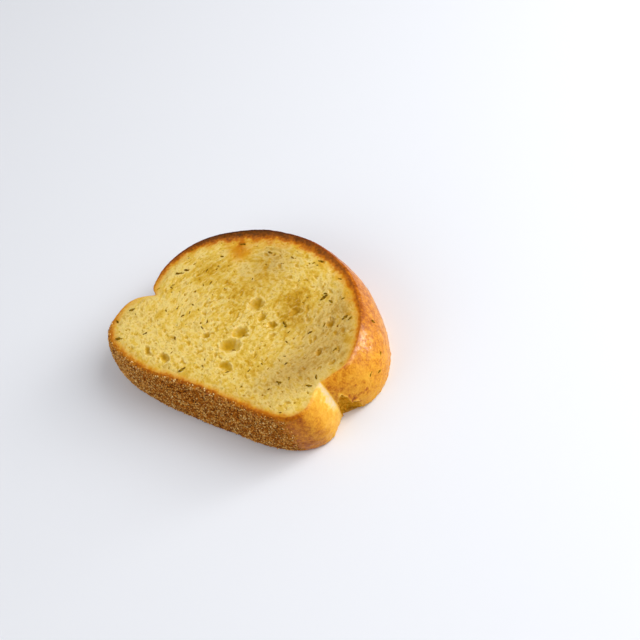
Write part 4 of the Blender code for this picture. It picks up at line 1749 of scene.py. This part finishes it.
@dataclass
class SemolinaCoat:
    """Grains of coarse semolina baked all over the sole."""

    crust: CrustShell
    bearings_deg: tuple[float, float] = (-160.0, -36.0)
    heights: tuple[float, float] = (1.0, 27.4)
    columns: int = 260
    tiers: int = 50
    grains: int = 6200
    thinning: float = 2.0  # the cover lets about one grain in this many through
    radii: tuple[float, float] = (0.22, 0.58)
    flattest: tuple[float, float, float] = (0.75, 0.6, 0.5)  # a grain's proportions lie between these
    fullest: tuple[float, float, float] = (1.35, 1.0, 0.8)
    golden_end: tuple[float, float] = (-110.0, -145.0)  # bearings over which the coat gets denser
    golden_cover: float = 0.4
    cover: float = 0.68
    cover_lumps: Lumps = Lumps(1.4, 3.0, 3, 31.0)
    thinnest: float = 0.08
    cover_heights: tuple[float, float] = (27.6, 26.4)
    seed: int = 5

    def bed(self) -> bpy.types.Object:
        """Makes the stretch of crust that the grains are strewn on.

        Returns:
            The bed, with the attribute cover.
        """
        bearing = np.radians(np.linspace(*self.bearings_deg, self.columns))
        places = []
        rim_foot = LOAF.thickness - LOAF.dip - LOAF.upper_edge
        for height in np.linspace(*self.heights, self.tiers):
            turn = math.asin(max(0.0, (height - rim_foot) / LOAF.upper_edge))
            inset = LOAF.upper_edge * (1 - math.cos(turn))
            flat = LOAF.place(bearing, LOAF.radius(bearing, float(height) / LOAF.thickness) - inset)
            places.append(np.column_stack((flat, np.full(self.columns, height))))
        points, around = np.concatenate(places), np.tile(bearing, self.tiers)
        flush = np.zeros(len(points))
        values = self.crust.wall_look(points, around, flush)
        points = self.crust.carve(points, around, flush, values)
        golden = self.golden_cover * ease(*self.golden_end, np.degrees(around))
        thin = np.clip(self.cover + self.cover_lumps.at(points) + golden, self.thinnest, 1.0)
        faces = []
        for tier in range(self.tiers - 1):
            for i in range(self.columns - 1):
                a = tier * self.columns + i
                faces.append((a, a + 1, a + 1 + self.columns, a + self.columns))
        cover = self.crust.sole(points, around) * ease(*self.cover_heights, points[:, 2]) * thin
        return make_piece("semolina_bed", points, faces, {"cover": cover}, [])

    def tree(self, finish: bpy.types.Material) -> bpy.types.NodeTree:
        """The Geometry Nodes tree that strews the grains.

        Args:
            finish: The grains' material.

        Returns:
            The tree, with the inputs Density, Smallest, Largest and Seed.
        """
        tree = start_tree("strew_semolina", ("Density", "Smallest", "Largest"))
        given = add_node(tree, "NodeGroupInput").outputs
        cover = add_node(tree, "GeometryNodeInputNamedAttribute", {"Name": "cover"}, data_type="FLOAT")
        density = add_node(
            tree, "ShaderNodeMath", {0: given["Density"], 1: cover.outputs[0]}, operation="MULTIPLY"
        )
        spots = add_node(
            tree,
            "GeometryNodeDistributePointsOnFaces",
            {"Mesh": given["Geometry"], "Density": density.outputs[0], "Seed": given["Seed"]},
        )
        tint = add_node(tree, "FunctionNodeRandomValue", {2: 0.0, 3: 1.0, "Seed": 3}, data_type="FLOAT")
        tinted = add_node(
            tree,
            "GeometryNodeStoreNamedAttribute",
            {"Geometry": spots.outputs["Points"], "Name": "tint", "Value": tint.outputs[1]},
            data_type="FLOAT",
            domain="POINT",
        )
        size = add_node(
            tree,
            "FunctionNodeRandomValue",
            {2: given["Smallest"], 3: given["Largest"], "Seed": 7},
            data_type="FLOAT",
        )
        squash = add_node(
            tree,
            "FunctionNodeRandomValue",
            {0: self.flattest, 1: self.fullest, "Seed": 9},
            data_type="FLOAT_VECTOR",
        )
        scale = add_node(
            tree,
            "ShaderNodeVectorMath",
            {0: squash.outputs[0], "Scale": size.outputs[1]},
            operation="SCALE",
        )
        turn = add_node(
            tree,
            "FunctionNodeRandomValue",
            {0: (0.0, 0.0, 0.0), 1: (math.tau, math.tau, math.tau), "Seed": 11},
            data_type="FLOAT_VECTOR",
        )
        grain = add_node(tree, "GeometryNodeMeshIcoSphere", {"Radius": 1.0, "Subdivisions": 1})
        strewn = add_node(
            tree,
            "GeometryNodeInstanceOnPoints",
            {
                "Points": tinted.outputs["Geometry"],
                "Instance": grain.outputs["Mesh"],
                "Rotation": turn.outputs[0],
                "Scale": scale.outputs[0],
            },
        )
        end_tree(tree, strewn.outputs["Instances"], finish)
        return tree

    def build(self, finish: ToastedSemolina) -> bpy.types.Object:
        """Strews the grains and turns them into one plain mesh.

        Args:
            finish: The grains' finish.

        Returns:
            The finished piece.
        """
        bed, material = self.bed(), finish.material()
        area = sum(p.area for p in bed.data.polygons)
        wanted = {
            "Density": self.thinning * self.grains / area,
            "Smallest": self.radii[0] * MM,
            "Largest": self.radii[1] * MM,
            "Seed": self.seed,
        }
        piece = grow(bed, self.tree(material), wanted, "semolina_grains", material)
        return hand_in(piece)


@dataclass(frozen=True)
class LeafScrap:
    """Proportions of a thin wavy scrap of leaf, for a half length of one, and how it is drawn."""

    long_points: int = 7
    wide_points: int = 3
    half_width: float = 0.38
    wider_by: float = 0.16
    pointed: float = 0.72  # how much narrower its ends are
    point_power: float = 2.2
    ragged: float = 0.35
    wave: float = 0.08
    wave_turns: float = 2.2
    crumple: float = 0.05
    bow: float = 0.16
    bow_turns: float = 1.7
    arch: float = 0.12
    twist: float = 0.06
    thick: float = 0.10

    def surface(self, draw: np.random.Generator) -> list[tuple[float, float, float]]:
        """Draws its upper side.

        Args:
            draw: The source of random numbers.

        Returns:
            The points, row by row across it.
        """
        u = np.linspace(-1, 1, self.long_points)
        ragged = 1 + self.ragged * draw.uniform(-1, 1, self.long_points)
        half = self.half_width + self.wider_by * draw.uniform()
        half = half * (1 - self.pointed * abs(u) ** self.point_power) * ragged
        bend = self.wave * np.sin(self.wave_turns * u + draw.uniform(0, 6))
        bend = bend + self.crumple * draw.uniform(-1, 1, self.long_points)
        side = self.bow * np.sin(self.bow_turns * u + draw.uniform(0, 6))
        points = []
        for i in range(self.long_points):
            for v in np.linspace(-1, 1, self.wide_points):
                height = bend[i] + self.arch * (1 - v * v) + self.twist * v * draw.uniform(-1, 1)
                points.append((u[i], side[i] + half[i] * v, height))
        return points

    def build(self, name: str, seed: int) -> bpy.types.Object:
        """Makes one scrap, closed all round and not linked to the scene.

        Args:
            name: The object's name.
            seed: Seed of its shape.

        Returns:
            The scrap, two units long.
        """
        upper = self.surface(np.random.default_rng(seed))
        shape = bmesh.new()
        top = [shape.verts.new(p) for p in upper]
        low = [shape.verts.new((x, y, z - self.thick)) for x, y, z in upper]
        for i in range(self.long_points - 1):
            for j in range(self.wide_points - 1):
                a = i * self.wide_points + j
                corners = (a, a + self.wide_points, a + self.wide_points + 1, a + 1)
                shape.faces.new([top[c] for c in corners])
                shape.faces.new([low[c] for c in reversed(corners)])
        rim = [e for e in shape.edges if e.is_boundary and e.verts[0] in top]
        for edge in rim:
            first, second = edge.verts
            if edge.link_loops[0].vert != first:
                first, second = second, first
            a, b = top.index(first), top.index(second)
            shape.faces.new((top[b], top[a], low[a], low[b]))
        bmesh.ops.recalc_face_normals(shape, faces=shape.faces)
        mesh = bpy.data.meshes.new(name)
        shape.to_mesh(mesh)
        shape.free()
        return bpy.data.objects.new(name, mesh)


@dataclass
class HerbScatter:
    """Scraps of dried herb on the upper face and on the right-hand crust, down to fine specks."""

    upper: FaceRelief
    scrap: LeafScrap = LeafScrap()
    strewn: int = 46
    specks: int = 110
    strewn_half_lengths: tuple[float, float] = (0.55, 1.1)
    speck_half_lengths: tuple[float, float] = (0.18, 0.42)
    crust_half_length: float = 1.3
    kinds: int = 4
    reach_x: tuple[float, float] = (-68.0, 68.0)
    reach_y: tuple[float, float] = (-52.0, 50.0)
    margin: float = 3.0  # face kept bare beside the outline
    lift: float = 0.10  # above the crumb, as a share of the half length
    tilt: float = 0.10
    crust_lift: float = 0.05
    crust_tilt: float = 0.25
    seed: int = 23

    def lying(self, draw: np.random.Generator) -> np.ndarray:
        """Lays out the scraps of the upper face.

        Args:
            draw: The source of random numbers.

        Returns:
            X, Y, half length and spin, one scrap a row.
        """
        rows = [(h.x, h.y, h.half_length, math.radians(h.turn_deg)) for h in HERBS]
        for count, sizes in (
            (self.strewn, self.strewn_half_lengths),
            (self.specks, self.speck_half_lengths),
        ):
            while count:
                x, y = draw.uniform(*self.reach_x), draw.uniform(*self.reach_y)
                if LOAF.inset(np.array([[x, y]]), CutFace.UPPER)[0] > self.margin:
                    rows.append((x, y, draw.uniform(*sizes), draw.uniform(0, math.pi)))
                    count -= 1
        return np.array(rows)

    def spots(self) -> dict[str, np.ndarray]:
        """Lays out every scrap.

        Returns:
            The place, normal, spin and size of each, where the size is its half length in metres.
        """
        draw = np.random.default_rng(self.seed)
        table = self.lying(draw)
        flat, lengths, spins = table[:, :2], table[:, 2], table[:, 3]
        surface = self.upper.surface(flat, LOAF.inset(flat, CutFace.UPPER))
        places = np.column_stack((flat, surface["height"] + self.lift * lengths))
        normals = np.column_stack((draw.normal(0, self.tilt, (len(table), 2)), np.ones(len(table))))
        for bearing_deg, rise in CRUST_HERBS:
            bearing = np.array([math.radians(bearing_deg)])
            spot = LOAF.place(bearing, LOAF.radius(bearing, rise) + self.crust_lift)[0]
            outwards = math.cos(bearing[0]), math.sin(bearing[0]), self.crust_tilt
            places = np.vstack((places, (*spot, rise * LOAF.thickness)))
            normals = np.vstack((normals, outwards))
            spins = np.append(spins, draw.uniform(0, math.pi))
            lengths = np.append(lengths, self.crust_half_length)
        return {"place": places, "normal": normals, "spin": spins, "size": lengths * MM}

    def tree(self, scraps: bpy.types.Collection, finish: bpy.types.Material) -> bpy.types.NodeTree:
        """The Geometry Nodes tree that lays a scrap on each point.

        Args:
            scraps: The collection that holds the kinds of scrap.
            finish: The scraps' material.

        Returns:
            The tree, with the input Seed.
        """
        tree = start_tree("lay_herbs", ())
        given = add_node(tree, "NodeGroupInput").outputs
        size = add_node(tree, "GeometryNodeInputNamedAttribute", {"Name": "size"}, data_type="FLOAT")
        spin = add_node(tree, "GeometryNodeInputNamedAttribute", {"Name": "spin"}, data_type="FLOAT")
        out = add_node(
            tree, "GeometryNodeInputNamedAttribute", {"Name": "out"}, data_type="FLOAT_VECTOR"
        )
        kinds = add_node(
            tree,
            "GeometryNodeCollectionInfo",
            {"Collection": scraps, "Separate Children": True, "Reset Children": True},
        )
        pick = add_node(
            tree,
            "FunctionNodeRandomValue",
            {4: 0, 5: self.kinds - 1, "Seed": given["Seed"]},
            data_type="INT",
        )
        lying = add_node(
            tree, "FunctionNodeAlignRotationToVector", {"Vector": out.outputs[0]}, axis="Z"
        )
        about = add_node(tree, "ShaderNodeCombineXYZ", {"Z": spin.outputs[0]})
        turned = add_node(
            tree,
            "FunctionNodeRotateRotation",
            {0: lying.outputs[0], 1: about.outputs[0]},
            rotation_space="LOCAL",
        )
        laid = add_node(
            tree,
            "GeometryNodeInstanceOnPoints",
            {
                "Points": given["Geometry"],
                "Instance": kinds.outputs[0],
                "Pick Instance": True,
                "Instance Index": pick.outputs[2],
                "Rotation": turned.outputs[0],
                "Scale": size.outputs[0],
            },
        )
        end_tree(tree, laid.outputs["Instances"], finish)
        return tree

    def build(self, finish: DriedHerb) -> bpy.types.Object:
        """Lays the scraps and turns them into one plain mesh.

        Args:
            finish: The herb's finish.

        Returns:
            The finished piece.
        """
        material, spots = finish.material(), self.spots()
        mesh = bpy.data.meshes.new("herb_spots")
        mesh.from_pydata((spots["place"] * MM).tolist(), [], [])
        set_values(mesh, {name: spots[name] for name in ("spin", "size")})
        out = mesh.attributes.new("out", "FLOAT_VECTOR", "POINT")
        out.data.foreach_set("vector", spots["normal"].astype(np.float32).ravel())
        base = show("herb_spots", mesh)
        scraps = bpy.data.collections.new("herb_scraps")
        for number in range(self.kinds):
            scraps.objects.link(self.scrap.build(f"scrap_{number}", self.seed + number))
        piece = grow(base, self.tree(scraps, material), {"Seed": self.seed}, "herb_flakes", material)
        for scrap in list(scraps.objects):
            bpy.data.objects.remove(scrap)
        bpy.data.collections.remove(scraps)
        return hand_in(piece)


@dataclass(frozen=True)
class Lamp:
    """A soft rectangular light that faces the slice.

    Its azimuth runs from +X towards +Y and its elevation up from the floor, in degrees. Its distance,
    width and height are in metres.
    """

    name: str
    azimuth: float
    elevation: float
    distance: float
    width: float
    height: float
    watts: float
    colour: str

    def build(self) -> None:
        """Hangs the light."""
        data = bpy.data.lights.new(self.name, "AREA")
        data.shape = "RECTANGLE"
        data.size, data.size_y, data.energy = self.width, self.height, self.watts
        data.color = linear(self.colour)[:3]
        light = show(self.name, data)
        a, e = math.radians(self.azimuth), math.radians(self.elevation)
        away = Vector((math.cos(a) * math.cos(e), math.sin(a) * math.cos(e), math.sin(e)))
        light.location = away * self.distance
        light.rotation_mode = "QUATERNION"
        light.rotation_quaternion = away.to_track_quat("Z", "Y")


LAMPS = (
    Lamp("key_softbox", 38.0, 42.0, 1.1, 0.95, 0.95, 11.0, "#ffffff"),
    Lamp("low_window", 50.0, 16.0, 1.3, 0.30, 0.75, 5.4, "#ffffff"),
    Lamp("fill_softbox", -118.0, 33.0, 1.4, 1.2, 1.2, 6.4, "#fbf9f6"),
)


@dataclass(frozen=True)
class Studio:
    """A pale floor, soft lights and the camera."""

    lens: float = 85.0
    sensor: float = 36.0
    eye: tuple[float, float, float] = (424.18, -260.27, 566.23)
    right: tuple[float, float, float] = (0.79583304, 0.52133015, -0.30800106)
    up: tuple[float, float, float] = (-0.27782003, 0.76633363, 0.57926574)
    floor_half: float = 2.5
    sky: float = 0.42
    sky_colour: str = "#f6f7fa"

    def camera(self) -> None:
        """Sets the camera at the photograph's place and tilt."""
        data = bpy.data.cameras.new("camera")
        data.lens, data.sensor_width = self.lens, self.sensor
        camera = show("camera", data)
        right, up = Vector(self.right).normalized(), Vector(self.up).normalized()
        turned = Matrix((right, up, right.cross(up))).transposed().to_4x4()
        camera.matrix_world = Matrix.Translation(Vector(self.eye) * MM) @ turned
        bpy.context.scene.camera = camera

    def build(self, paper: MattPaper) -> None:
        """Lays the floor and sets lights, sky and camera.

        Args:
            paper: The floor's finish.
        """
        half = self.floor_half
        mesh = bpy.data.meshes.new("floor")
        corners = [(-half, -half, 0.0), (half, -half, 0.0), (half, half, 0.0), (-half, half, 0.0)]
        mesh.from_pydata(corners, [], [(0, 1, 2, 3)])
        mesh.materials.append(paper.material())
        floor = show("floor", mesh)
        for lamp in LAMPS:
            lamp.build()
        world = bpy.data.worlds.new("studio")
        world.use_nodes = True
        background = world.node_tree.nodes["Background"]
        background.inputs["Color"].default_value = linear(self.sky_colour)
        background.inputs["Strength"].default_value = self.sky
        bpy.context.scene.world = world
        bpy.context.scene.view_settings.view_transform = "Standard"
        self.camera()


def main() -> None:
    """Builds and dresses the slice, then the studio round it."""
    logging.basicConfig(level=logging.INFO, format="%(name)s: %(message)s")
    upper, lower = FaceRelief(CutFace.UPPER, seed=3), FaceRelief(CutFace.LOWER, seed=8)
    shell = CrustShell(upper, lower)
    CrumbSlab("upper_crumb", upper, spacing=0.335).build(ButteredCrumb())
    CrumbSlab("lower_crumb", lower, spacing=0.46).build(ButteredCrumb())
    shell.build(BakedCrust(), BakedCrust("dry_toasted_bread", roughness=0.62, gloss=0.06))
    SemolinaCoat(shell).build(ToastedSemolina())
    HerbScatter(upper).build(DriedHerb())
    Studio().build(MattPaper())


if __name__ == "__main__":
    main()
